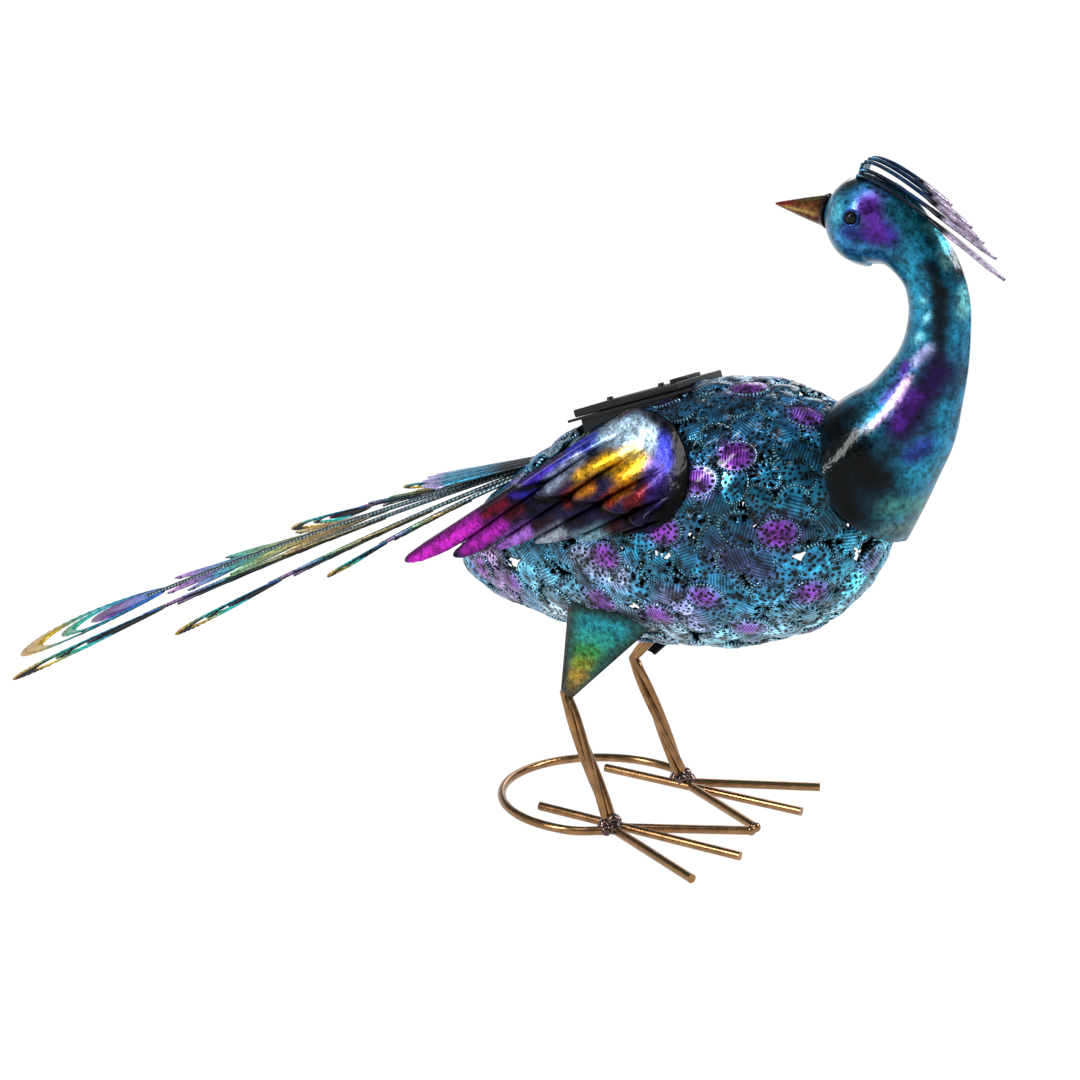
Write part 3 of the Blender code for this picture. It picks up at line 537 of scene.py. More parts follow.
def petalStamp(cut):
    # one oval on a unit disc; cut says which of the ring's cells are pierced
    bm = bmesh.new()
    rings = [(Matrix.Translation((0, 0, rise)), reach) for reach, rise in petal["rings"]]
    skin(bm, [addLoop(bm, place, petal["sides"], reach, reach) for place, reach in rings], capStart=False)
    bmesh.ops.poke(bm, faces=[face for face in bm.faces if len(face.verts) > 4])
    for vert in bm.verts:
        if vert.co.xy.length < 0.01:
            vert.co.z = petal["middle"]
    outward(bm)
    if sum(face.normal.z for face in bm.faces) < 0:
        bmesh.ops.reverse_faces(bm, faces=bm.faces)
    low, high = petal["rings"][3][0], petal["rings"][2][0]
    pierced = []
    for face in bm.faces:
        middle = face.calc_center_median().xy
        cell = int((atan2(middle.y, middle.x) / (2 * pi)) % 1 * petal["sides"])
        if low < middle.length < high and cut(cell):
            pierced.append(face)
    bmesh.ops.delete(bm, geom=pierced, context="FACES")
    layer = bm.loops.layers.uv.new("petal")
    for face in bm.faces:
        for loop in face.loops:
            loop[layer].uv = loop.vert.co.xy
    mesh = bpy.data.meshes.new("petalStamp")
    bm.to_mesh(mesh)
    bm.free()
    return mesh


def lidMatrix():
    return Matrix.Translation(lid["centre"]) @ Matrix.Rotation(-radians(lid["pitch"]), 4, "Y")


def underLid(place, edge):
    inside = lidMatrix().inverted() @ place
    return (
        abs(inside.x) < lid["length"] / 2 - edge and abs(inside.y) < lid["width"] / 2 - edge
        and inside.z > -lid["tray"]
    )


def layPetal(bm, stamp, centre, turn, size, lift, tone, kind):
    unit = eggUnit(centre)[0]
    middle = eggPoint(unit)
    normal = eggNormal(unit)
    ahead = (turn - normal * turn.dot(normal)).normalized()
    across = normal.cross(ahead)
    before = len(bm.verts)
    bm.from_mesh(stamp)
    bm.verts.ensure_lookup_table()
    tones, kinds = bm.verts.layers.float["tone"], bm.verts.layers.float["stamp"]
    for vert in bm.verts[before:]:
        x, y, z = vert.co
        way = eggUnit(middle + ahead * x * size[0] + across * y * size[1])[0]
        rise = z + petal["crown"] * (1 - x * x - y * y) + petal["tilt"] * x + lift
        vert.co = eggPoint(way) + eggNormal(way) * rise
        vert[tones] = tone
        vert[kinds] = kind


lid = {
    "centre": Vector((-2, 0, 189.5)), "pitch": 18.5, "length": 54, "width": 40, "thick": 3.4, "tray": 14,
    "sheet": 1.2, "rim": 2.2, "cells": (4, 3), "margin": 8, "between": 0.6, "studs": (-0.36, 0.14),
    "clip": (9, 12, 2),
}


def onEgg(x, z, side):
    # the place on the shell that shows at x, z from one side
    way, out = eggUnit(Vector((x, 0, z)))
    flat = way * min(out, 0.98)
    return eggPoint(Vector((flat.x, side * sqrt(1 - flat.x ** 2 - flat.z ** 2), flat.z)))


def spreadOvals():
    # purple hearts first, then more hearts between them, rings of ovals around each, and one in each gap left
    hearts = [(onEgg(x, z, side), 1.0) for x, z in bodyPaint["hearts"] for side in (-1, 1)]
    ovals = [(place, Vector((1, 0, 0.2)), 1.0, True) for place, purple in hearts]

    def anywhere():
        return eggPoint(Vector([random.gauss(0, 1) for i in range(3)]).normalized())

    for attempt in range(3000):
        place = anywhere()
        if all((place - other).length > petal["apart"] for other, purple in hearts):
            hearts.append((place, 0.7 if random.random() < 0.35 else 0.0))
            ovals.append((place, Vector((1, 0.1, 0.2)), 0.95, True))
    for heart, purple in hearts:
        normal = eggNormal(eggUnit(heart)[0])
        first = normal.orthogonal().normalized()
        spin, count = random.uniform(0, 360), petal["count"] + random.choice((-1, 0, 0, 1))
        for leaf in range(count):
            bearing = spin + 360 / count * (leaf + random.uniform(-0.2, 0.2))
            turn = Matrix.Rotation(radians(bearing), 3, normal) @ first
            place = heart + turn * petal["out"] * random.uniform(0.85, 1.3)
            turn = Matrix.Rotation(random.gauss(0, 0.4), 3, normal) @ turn
            place = eggPoint(eggUnit(place)[0])
            if all((place - other[0]).length > petal["near"] for other in ovals):
                ovals.append((place, turn, random.uniform(0.85, 1.25), False))
    for attempt in range(6000):
        place = anywhere()
        if all((place - other[0]).length > petal["gap"] for other in ovals):
            ovals.append((place, Vector([random.gauss(0, 1) for i in range(3)]), 1.05, False))
    return hearts, ovals


def addBody():
    stamps = [
        petalStamp(lambda cell: False),
        petalStamp(lambda cell: cell % 2 == 0),
        petalStamp(lambda cell: cell % 5 in (0, 2)),
    ]
    bm = bmesh.new()
    bm.verts.layers.float.new("tone")
    bm.verts.layers.float.new("stamp")
    bm.loops.layers.uv.new("petal")
    hearts, ovals = spreadOvals()
    for place, turn, size, raised in ovals:
        if underLid(place, 3):
            continue
        # most are left whole, and a raised one always is
        stamp = stamps[0] if raised else random.choice((stamps[0], stamps[0], stamps[0], *stamps))
        size = petal["long"] * size, petal["wide"] * size
        lift = 1.0 if raised else random.uniform(0, 0.7)
        layPetal(bm, stamp, place, turn, size, lift, random.uniform(0.45, 1.5), random.random())
    # airbrush: the ground by place, then a purple spot over each heart and its rim
    airbrush(bm, bodyPaint)
    paint, tones = bm.verts.layers.float_color["paint"], bm.verts.layers.float["tone"]
    places = np.array([vert.co for vert in bm.verts])
    colours = np.array([vert[paint] * vert[tones] for vert in bm.verts])
    for heart, purple in hearts:
        gap = np.linalg.norm((places - np.array(heart)) * (0.85, 1, 1.1), axis=1) / bodyPaint["spot"]
        weight = (0.95 * purple * np.exp(-gap ** 4))[:, None]
        colours = colours * (1 - weight) + weight * linear(bodyPaint["oval"])
    for vert, colour in zip(bm.verts, colours):
        vert[paint] = (*colour[:3], 1)
    opened = []
    for face in bm.faces:
        middle = face.calc_center_median()
        near = any((middle - Vector(place)).length < reach for place, reach in bodyPaint["open"])
        if near or underLid(middle, -1.5):
            opened.append(face)
    bmesh.ops.delete(bm, geom=opened, context="FACES")
    body = newPiece("piercedBody", bm, ["filigree", "inside"], ["body_shell"])
    thicken(body, petal["sheet"])
    print("body pierced,", len(ovals), "ovals")


# Neck and head

breast = Vector((110, 0, 0))
neck = {
    "stations": (
        # x from the breast, z, depth and width, from the collar up to the face
        (-16, 163, 64, 60), (-2.8, 179.8, 53.5, 50), (7, 192.7, 44, 39), (13.2, 205.8, 35.2, 31),
        (17.2, 217.5, 29.2, 26.5), (19, 229.5, 25.6, 24), (18.6, 241.7, 24.2, 23), (14, 253.9, 23.4, 22.5),
        (4.5, 264, 25, 25), (-4, 269.5, 32, 30), (-11.5, 271.5, 35.5, 34), (-19, 273, 33, 31),
        (-25, 274, 25, 23), (-29, 274.5, 14, 13),
    ),
    "sides": 56, "between": 7, "seam": 0.5, "seamWide": 0.9, "sheet": 1.0,
}
neckPaint = {
    "ground": "1F7496",
    "strokes": (
        (90, 287, 98, 290, 4, "28383C", 0.9), (98, 291, 112, 288, 4, "2C4648", 0.9),
        # the pale cyan 5CCBE6 spot at the front of the face is a painted highlight
        (90, 279, 90, 275, 3, "5CCBE6", 0.9), (96, 280, 99, 284, 3.5, "3A9AD8", 0.85),
        (92, 266, 95, 262, 4, "3A8CC8", 0.85), (100, 261, 108, 259, 3, "3A86C4", 0.8),
        (96, 268, 113, 266, 4, "1C1E6C", 0.95), (103, 279, 108, 270, 6, "5C1E96", 0.95),
        (112, 272, 113, 269, 3, "30268A", 0.8), (114, 277, 122, 270, 4.5, "1F8098", 0.85),
        # the pale cyan 5CC4D4 and 8CDCE0 streaks over the back of the head are painted highlights
        (124, 271, 131, 262, 1.3, "5CC4D4", 0.85), (131, 261, 134, 256, 1.2, "8CDCE0", 0.85),
        (133, 263, 138, 252, 1.8, "020608", 0.98), (121, 264, 127, 262, 4, "1C7A9E", 0.8),
        # the near-black 02090E strokes down the middle of the neck are a painted dark reflection
        (128, 257, 133, 246, 3.0, "02090E", 0.97), (133, 246, 135, 219, 4.2, "02090E", 0.98),
        # the small pale cyan 7EDDF0 and 8CE4F4 spots are painted glints
        (118, 255, 124, 240, 3.5, "2590B4", 0.85), (126, 243, 127, 243, 1.5, "7EDDF0", 0.8),
        (128, 236, 129, 237, 1.4, "8CE4F4", 0.8), (125, 228, 126, 229, 1.6, "8CE4F4", 0.8),
        # the pale 74CCD4 streak on the back of the neck is a painted highlight
        (139.5, 247, 140.5, 238, 1.4, "74CCD4", 0.85), (139.5, 231, 140, 206, 3.2, "1E7CA4", 0.9),
        # the lavender to pink-white strokes, B4B8F0 down to D4DCE4, are a painted highlight down the front of
        # the neck
        (145, 250, 147, 215, 1.6, "04080A", 0.9), (130, 224, 125, 219, 2.2, "B4B8F0", 0.9),
        (123, 212, 118, 202, 1.9, "F0C4F4", 0.95), (116, 199, 111, 193, 1.5, "E6B8F0", 0.9),
        (110, 192, 104, 189, 1.0, "D4DCE4", 0.85), (121, 217, 113, 204, 2.4, "6C38C8", 0.95),
        (116, 213, 107, 200, 3, "2C8CB0", 0.85), (105, 197, 99, 196, 3.5, "1C3A3C", 0.9),
        (134, 215, 123, 193, 9, "1C063C", 1.0), (126, 206, 121, 195, 3.2, "5C1E98", 0.85),
        (134, 188, 127, 182, 3.4, "2C3CA0", 0.9), (138, 203, 136, 186, 3.2, "1F7CA0", 0.9),
        (92, 192, 107, 183, 7, "010304", 1.0), (106, 181, 116, 172, 11, "010304", 1.0),
        (114, 186, 119, 184, 2.6, "0E3A4C", 0.8), (96, 180, 106, 158, 14, "020506", 1.0),
        (127, 172, 132, 176, 4, "2490B0", 0.9), (120, 160, 126, 160, 4.5, "3C7C78", 0.9),
        (118, 150, 122, 150, 3.6, "4C6C64", 0.85),
    ),
}


def smoothed(rows, between):
    # a curve through the rows, each a list of numbers
    rows = np.array(rows, float)
    rows = np.vstack((2 * rows[0] - rows[1], rows, 2 * rows[-1] - rows[-2]))
    made = []
    for a, b, c, d in zip(rows, rows[1:], rows[2:], rows[3:]):
        bend, twist = 2 * a - 5 * b + 4 * c - d, 3 * b - a - 3 * c + d
        for t in np.linspace(0, 1, between, endpoint=False):
            made.append(0.5 * (2 * b + (c - a) * t + bend * t ** 2 + twist * t ** 3))
    return made + [rows[-2]]


def addNeck():
    bm = bmesh.new()
    stations = [
        (breast + Vector((x, 0, z)), depth, width)
        for x, z, depth, width in smoothed(neck["stations"], neck["between"])
    ]
    addTube(bm, stations, neck["sides"], capStart=False)
    bmesh.ops.poke(bm, faces=[face for face in bm.faces if len(face.verts) > 4])
    outward(bm)
    bm.normal_update()
    for vert in bm.verts:
        # the halves are pressed apart and joined along a raised seam
        vert.co += vert.normal * neck["seam"] * exp(-(vert.co.y / neck["seamWide"]) ** 2)
    sunk = [face for face in bm.faces if eggUnit(face.calc_center_median())[1] < shell["hidden"]]
    bmesh.ops.delete(bm, geom=sunk, context="FACES")
    airbrush(bm, neckPaint)
    piece = newPiece("neckAndHead", bm, ["neck", "inside"], ["neck_and_head"])
    thicken(piece, neck["sheet"])
    print("neck raised")


beak = {
    "base": Vector((80.4, 0, 274.5)), "tip": Vector((55.7, 0, 276.5)), "wide": 12.5,
    # share of the length, and of the width, from the flared foot to the tip
    "stations": (
        (0, 1.2), (0.05, 1.176), (0.1, 1), (0.2, 0.93), (0.45, 0.68), (0.75, 0.34), (0.93, 0.14), (1, 0.04),
    ),
}
beakPaint = {
    "ground": "8C3426",
    "strokes": (
        (57, 276, 66, 277, 3, "8A2E26", 0.8), (68, 280, 77, 281, 3, "5C5A28", 0.85),
        (67, 271, 77, 269, 3, "6A4A20", 0.8), (70, 276, 78, 275, 2.0, "6C5426", 0.7),
        # the thin pale B8A050 line is a painted highlight along the crease where the halves meet
        (62, 275.4, 76, 273.5, 0.7, "B8A050", 0.8), (79.6, 284, 80.4, 264, 2.4, "030303", 1.0),
    ),
}


def addBeak():
    forward = beak["tip"] - beak["base"]
    bm = bmesh.new()
    loops = []
    for share, width in beak["stations"]:
        place, half = turned(beak["base"] + forward * share, forward), width * beak["wide"] / 2
        loops.append(addLoop(bm, place, 32, half, half * 0.9, shape=1.25))
    skin(bm, loops)
    outward(bm)
    airbrush(bm, beakPaint)
    piece = newPiece("beakCone", bm, ["beak"], ["beak"])
    smooth = piece.modifiers.new("smooth", "SUBSURF")
    smooth.levels = smooth.render_levels = 1


eye = {
    "place": Vector((97.5, -17.3, 274)), "wide": 5.0, "rim": 7.2,
    # rise, and share of the rim's width, over its lip and down inside
    "lip": ((0, 1.0), (0.5, 1.0), (0.85, 0.94), (0.95, 0.84), (0.8, 0.74), (0.2, 0.7)),
}
eyePaint = {"ground": "1E3A78", "strokes": ()}


def addEyes():
    matrix = turned(eye["place"], Vector((0, -1, 0)), Vector((0, 0, 1)))
    bm = bmesh.new()
    loops = []
    for rise, width in eye["lip"]:
        half = width * eye["rim"] / 2
        loops.append(addLoop(bm, matrix @ Matrix.Translation((0, 0, rise)), 32, half, half))
    skin(bm, loops, capStart=False, capEnd=False)
    bead = bmesh.ops.create_uvsphere(bm, u_segments=24, v_segments=12, radius=eye["wide"] / 2)["verts"]
    bmesh.ops.transform(bm, matrix=matrix @ Matrix.Diagonal((1, 1, 0.75, 1)), verts=bead)
    coatSecond(bead)
    outward(bm)
    airbrush(bm, eyePaint)
    newPair("eye", bm, ["neck", "bead"], "eye")
    print("face finished")


crest = {
    "foot": Vector((93.4, 0, 289.6)), "strip": 2.8, "slot": 0.7, "taper": 0.6, "bend": 9, "sheet": 1.0,
    # shares of a strip: its stem, and past that where it widens to a paddle, notches and comes to a point
    "stem": 0.14, "paddle": (0.66, 0.72), "notch": (0.8, 0.84), "point": (0.93, 1.0),
    "strips": (
        # height of the bend, and the tip
        (290, (159.5, -12, 253.5)), (292, (153.5, -6, 260.5)), (295, (146, 0, 265.5)),
        (296, (138.5, 6, 270.5)), (296.3, (127.5, 12, 278.3)),
    ),
}
crestPaint = {
    "ground": "0A1628",
    "strokes": (
        (93, 289, 96, 295, 2.4, "2E7494", 0.85), (97, 297, 103, 297, 3, "163A60", 0.8),
        (104, 294, 122, 281, 2, "18406C", 0.7), (110, 284, 132, 266, 2, "070C18", 0.8),
    ),
    # the paddles are pale from here on, past a dark band
    "paddle": "B9A9C4", "paddleFrom": 0.78, "darkFrom": 0.7,
}


def addCrest():
    bm = bmesh.new()
    paint = bm.verts.layers.float_color.new("paint")
    half, pitch = crest["strip"] / 2, crest["strip"] + crest["slot"]
    for number, (height, tip) in enumerate(crest["strips"]):
        y = (number - (len(crest["strips"]) - 1) / 2) * pitch
        foot = Vector((crest["foot"].x, y * crest["taper"], crest["foot"].z - 1))
        start = Vector((crest["foot"].x + 1.5, y, height))
        shoulder = start + Vector((crest["bend"], 0, crest["bend"] * 0.12))
        tip = Vector(tip)
        for vert, side, along in addGrid(bm, 2, 40):
            if along < crest["stem"]:
                place, wide = foot.lerp(start, along / crest["stem"]), 1.1
            else:
                share = (along - crest["stem"]) / (1 - crest["stem"])
                place = bent(start, shoulder, tip, share)
                wide = 1 + 0.85 * smoothStep(*crest["paddle"], share)
                wide -= 0.25 * smoothStep(*crest["notch"], share) + 1.3 * smoothStep(*crest["point"], share)
            vert.co = place + Vector((0, side * half * wide, 0.35 * (1 - abs(side))))
            dark = sprayed(np.array([vert.co.xz]), crestPaint)[0]
            if along > crestPaint["darkFrom"]:
                dark = dark * 0.25
            vert[paint] = linear(crestPaint["paddle"]) if along > crestPaint["paddleFrom"] else dark
    facing(bm.faces, (0.3, 0, 1))
    piece = newPiece("crestFan", bm, ["crest", "tray"], ["crest"])
    thicken(piece, crest["sheet"])
    print("crest bent")


# Wings

wing = {
    "side": 54, "lean": 0.30, "sweep": 0.09,
    "shoulder": (18, 168.5), "size": (27, 25), "top": 110, "turn": 175,
    "tips": ((-94, 114), (-66, 120.5), (-46, 127), (-24, 133), (1, 137.5), (18, 142.5)),
    "notch": 0.15, "bulge": 6, "lobe": 4.2, "step": 2.8, "sheet": 1.0,
    "ends": (0.48, 0.55, 0.53, 0.51, 0.48, 0.36),
    "rim": 0.045, "most": 8.2,
    "post": (26, 160, 7),
}
wingPaint = {
    "ground": "1C1738",
    "strokes": (
        # the pale blue over the shoulder is the lacquer's pale silver-blue, and partly a painted highlight
        (-1, 183, 10, 186, 6, "9CC8E8", 0.95), (4, 184, 23, 184, 6, "BCDAF0", 0.97),
        (30, 185, 34, 174, 3.4, "3038B4", 0.9), (26, 172, 31, 166, 3, "4C3C9C", 0.85),
        (-24, 168, -6, 180, 4.2, "3A44D0", 0.95), (-42, 154, -24, 167, 4.6, "5030CC", 0.95),
        (-36, 151, -28, 156, 2.6, "2226A0", 0.9), (-21, 159, -8, 170, 3.4, "B4C0E0", 0.95),
        (-14, 160, -10, 164, 1.2, "4A3A34", 0.7), (-6, 165, 6, 172, 3.2, "C8961C", 0.95),
        (7, 172, 21, 173, 4.5, "D8A414", 0.95), (14, 176, 19, 177, 3, "E6CC70", 0.85),
        (15, 168, 18, 166, 4, "C88A10", 0.95), (-12, 153, -7, 157, 3, "A03010", 0.95),
        (-6, 158, 1, 161, 3, "C07418", 0.95), (8, 154, 12, 158, 3, "8C240C", 0.95),
        (14, 160, 19, 163, 3, "B06010", 0.95), (22, 157, 28, 163, 3.4, "5C1410", 0.95),
        (32, 172, 31, 160, 3.2, "2C1C5C", 0.9), (20, 149, 24, 154, 3, "200808", 0.95),
        (24, 191, 36, 187, 3.5, "040406", 0.98), (36, 188, 42, 178, 5, "040406", 1.0),
        (43, 178, 44, 166, 6, "040406", 1.0), (44, 166, 36, 152, 5, "040406", 1.0),
        (-44, 149, -28, 146, 1.6, "08060A", 0.9), (-92, 115, -62, 136, 4.6, "C826C0", 0.98),
        (-64, 126, -46, 138, 4, "B424B4", 0.97), (-56, 141, -47, 147, 2.8, "6A0A20", 0.95),
        (-44, 142, -37, 146, 3, "4A0818", 0.95), (-44, 129, -32, 137, 3.8, "A468CC", 0.95),
        (-28, 140, -20, 144, 2.6, "241018", 0.9), (-25, 133, -14, 140, 3.6, "A0A8B8", 0.92),
        (-12, 143, -4, 146, 2.4, "181418", 0.9), (-5, 137, 7, 143, 3.6, "7CA4B4", 0.9),
        (8, 144, 14, 147, 2.2, "3A140C", 0.9), (14, 142, 18, 144, 2.4, "2A1C18", 0.85),
        (-44, 155, -20, 171, 1.3, "4E4644", 0.9), (-20, 174, 17, 196, 1.6, "4E4644", 0.95),
    ),
}


def wingPlace(x, z, rise):
    inwards = wing["lean"] * (z - shell["centre"].z) + wing["sweep"] * (wing["shoulder"][0] - x)
    return Vector((x, -(wing["side"] - inwards + rise), z))


def wingLine(across):
    angle = radians(wing["top"] - wing["turn"] * across)
    start = Vector(wing["shoulder"]) + Vector(wing["size"]) * Vector((cos(angle), sin(angle)))
    place = across * len(wing["tips"]) - 0.5
    number = min(max(int(place), 0), len(wing["tips"]) - 2)
    return start, Vector(wing["tips"][number]).lerp(Vector(wing["tips"][number + 1]), place - number)


def addWings():
    count = len(wing["tips"])
    bm = bmesh.new()
    paintedStepShade = bm.verts.layers.float.new("darkening")
    for vert, side, along in addGrid(bm, count * 14, 120):
        across = (side + 1) / 2
        number = min(int(across * count), count - 1)
        off = 2 * (across * count - number) - 1          # -1 to 1 over one feather
        crown = sqrt(max(0.0, 1 - off * off))
        start, end = wingLine(across)
        reach = along * (1 - wing["notch"] * (1 - crown))
        flat = smoothStep(wing["rim"] * 0.8, wing["rim"] * 1.8, across)
        dome = sin(pi * (0.08 + 0.9 * reach)) ** 0.6
        dome *= sin(pi * (0.05 + 0.9 * across)) ** 0.5
        rise = wing["bulge"] * dome * (1 - 0.5 * reach) * (0.35 + 0.65 * flat)
        # the long lobes end in rounded steps, and the flight feathers come out from under them
        last = wing["ends"][number] - 0.06 * (1 - crown)
        lobe = smoothStep(0.1, 0.34, reach) * crown
        over = smoothStep(last - 0.01, last + 0.012, reach)
        rounding = 1 - 0.6 * smoothStep(last - 0.07, last, reach) ** 2
        rise += wing["lobe"] * lobe * rounding * (1 - over) * flat
        shaft = 0.4 * exp(-((abs(off) - 0.12) / 0.08) ** 2)
        rise += over * (0.55 * wing["lobe"] * crown - wing["step"] - shaft)
        spot = start.lerp(end, reach)
        vert.co = wingPlace(spot.x, spot.y, min(rise, wing["most"]))
        # painted shade darkens the steps and the hollows between the feathers
        step = exp(-((reach - last - 0.02) / 0.042) ** 2)
        valley = (1 - crown) ** 1.5 * smoothStep(0.15, 0.4, reach)
        vert[paintedStepShade] = max(0.03, (1 - 0.97 * step) * (1 - 0.75 * valley))
    facing(bm.faces, (0, -1, 0))
    sheet = set(bm.faces)
    x, z, width = wing["post"]
    outer = wingPlace(x, z, wing["bulge"] * 0.8)
    inner = Vector((x, -eggPoint(eggUnit(Vector((x, 40, z)))[0]).y, z))
    ahead = Vector((1, 0, 0))
    skin(bm, [
        addLoop(bm, turned(end, outer - inner, ahead), 16, width / 2, width / 2) for end in (inner, outer)
    ])
    bmesh.ops.recalc_face_normals(bm, faces=[face for face in bm.faces if face not in sheet])
    airbrush(bm, wingPaint)
    paint = bm.verts.layers.float_color["paint"]
    # the paint is darkened by that painted shade in the steps and between the feathers
    for vert in bm.verts:
        vert[paint] = vert[paint] * (vert[paintedStepShade] or 1)
    for piece in newPair("wing", bm, ["wing", "inside"], "wing", sharp=70):
        thicken(piece, wing["sheet"])
    print("wings pressed")


# Lid on the back

def addLid():
    length, width, thick = lid["length"], lid["width"], lid["thick"]
    base = lid["sheet"] / 2 + 0.3
    bm = bmesh.new()
    addBox(bm, (0, 0, base + thick / 2), (length, width, thick))
    soften(bm, bm.edges, 0.7, 3)
    top = [face for face in bm.faces if face.normal.z > 0.99]
    bmesh.ops.inset_region(bm, faces=top, thickness=lid["rim"], depth=0)
    window = [face for face in bm.faces if face.normal.z > 0.99 and face.calc_area() > 400]
    bmesh.ops.inset_region(bm, faces=window, thickness=0.4, depth=-0.5)
    for face in window:
        face.material_index = 1
    columns, rows = lid["cells"]
    long, wide, gap = (length - lid["margin"]) / columns, (width - lid["margin"]) / rows, lid["between"]
    for column in range(columns):
        for row in range(rows):
            x, y = (column + 0.5 - columns / 2) * long, (row + 0.5 - rows / 2) * wide
            cell = addBox(bm, (x, y, base + thick - 0.45), (long - gap, wide - gap, 0.3))
            coatSecond(cell)
    for share in lid["studs"]:
        place = Matrix.Translation((share * length, 0, base + thick + 0.6))
        bmesh.ops.create_cone(
            bm, cap_ends=True, segments=20, radius1=1.7, radius2=1.3, depth=1.6, matrix=place,
        )
    clip = addBox(bm, (length / 2 - 7, 0, base + thick + 0.7), lid["clip"])
    soften(bm, list({edge for vert in clip for edge in vert.link_edges}), 0.4, 2)
    bmesh.ops.transform(bm, matrix=lidMatrix(), verts=bm.verts)
    newPiece("solarLid", bm, ["tray", "cell"], ["solar_panel"])
    tray = frame["nodes"]["battery_tray"].data.materials
    tray.clear()
    tray.append(finishes["tray"])
    print("lid closed")


# Thighs, legs and feet

thigh = {
    "rear": Vector((-19.5, -36, 111.8)), "front": Vector((34, -34, 111.8)), "tip": Vector((-24, -36, 62.5)),
    "tipWide": 6, "curl": 4, "sheet": 1.0,
}
thighPaint = {
    "ground": "2A5C54",
    "strokes": (
        (-10, 96, 6, 96, 5, "2090A0", 0.92), (-11, 89, -1, 90, 4.5, "2A9C90", 0.92),
        (-13, 83, -6, 84, 4, "3C8C44", 0.92), (-15, 77, -10, 78, 3.6, "84942A", 0.94),
        (-17, 71, -13, 72, 3.4, "A88830", 0.95), (-19, 66, -16, 67, 3, "86703A", 0.9),
        (-21, 61, -18, 63, 3, "4C4030", 0.95), (-23, 64, -20.5, 104, 2.4, "2A2A28", 0.97),
        # the near-black 101214 band along the top edge, where the plate goes in under the body, is painted
        # shade
        (-13, 60, 21, 96, 4.4, "2A2C2C", 0.97), (-20, 106, 30, 104, 4.4, "101214", 0.97),
    ),
}


def addThighs():
    bm = bmesh.new()
    for vert, side, up in addGrid(bm, 16, 24):
        share, down = (side + 1) / 2, 1 - up
        top = thigh["rear"].lerp(thigh["front"], share)
        tip = thigh["tip"] + Vector((thigh["tipWide"] * share, 0, -0.3 * thigh["tipWide"] * share))
        place = top.lerp(tip, down)
        place.y -= thigh["curl"] * sin(pi * share) * (1 - 0.7 * down)
        vert.co = place
    sunk = [vert for vert in bm.verts if eggUnit(vert.co)[1] < shell["hidden"]]
    bmesh.ops.delete(bm, geom=sunk, context="VERTS")
    facing(bm.faces, (0, -1, 0))
    airbrush(bm, thighPaint)
    for piece in newPair("thigh", bm, ["thigh", "inside"], "thigh"):
        thicken(piece, thigh["sheet"], offset=0)


leg = {
    "foot": Vector((0, -33, 4)), "knee": Vector((-26, -30.5, 59.5)), "top": Vector((7, -26, 98)),
    "strands": 3, "strand": 3.6, "bundle": 1.75, "turns": 0.45,
    # steps up to the knee, and in all
    "kneeStep": 24, "steps": 34,
}
wire = {"thick": 4.0, "meet": 54, "middle": (63, -30), "outer": (57, -62), "back": (-40, -29)}
weld = {
    # run metal: lumps by place from the foot's middle, and radius
    "lumps": (
        ((0, 0, 3.6), 4.4), ((2.8, -1.6, 3.0), 3.2), ((-2.8, 1.4, 3.6), 3.2), ((0.6, 2.8, 4.4), 3.0),
        ((-1.4, -3.0, 3.4), 3.2), ((1.2, -0.4, 6.4), 2.8), ((-2.0, -0.8, 6.2), 2.4), ((3.4, 2.2, 2.4), 2.2),
        ((0.4, -4.4, 2.4), 2.6),
    ),
    "bead": 2.3,
}
ring = {"radius": 47, "x": -24, "end": 57, "tuck": 2.6, "steps": 72}


def addWire(bm, points, thick, sides=16):
    # a round wire through the points, its ends cut flat
    level = abs((Vector(points[-1]) - Vector(points[0])).normalized().z) < 0.8
    side = Vector((0, 0, 1)) if level else Vector((0, 1, 0))
    addTube(bm, [(Vector(point), thick, thick) for point in points], sides, side)


def addLegs():
    bm = bmesh.new()
    knee, steps = leg["kneeStep"], leg["steps"]
    for strand in range(leg["strands"]):
        points = []
        for i in range(steps + 1):
            if i <= knee:
                share = i / knee
                place, forward = leg["foot"].lerp(leg["knee"], share), leg["knee"] - leg["foot"]
            else:
                share = (i - knee) / (steps - knee)
                place, forward = leg["knee"].lerp(leg["top"], share), leg["top"] - leg["knee"]
            angle = 2 * pi * (strand / leg["strands"] + leg["turns"] * min(i / knee, 1))
            around = turned(place, forward).to_3x3() @ Vector((cos(angle), sin(angle), 0))
            drawn = 1 - 0.45 * exp(-((i - knee) / 3) ** 2)
            points.append(place + around * leg["bundle"] * drawn)
        addWire(bm, points, leg["strand"], 12)
    outward(bm)
    newPair("leg", bm, ["wire"], "leg")


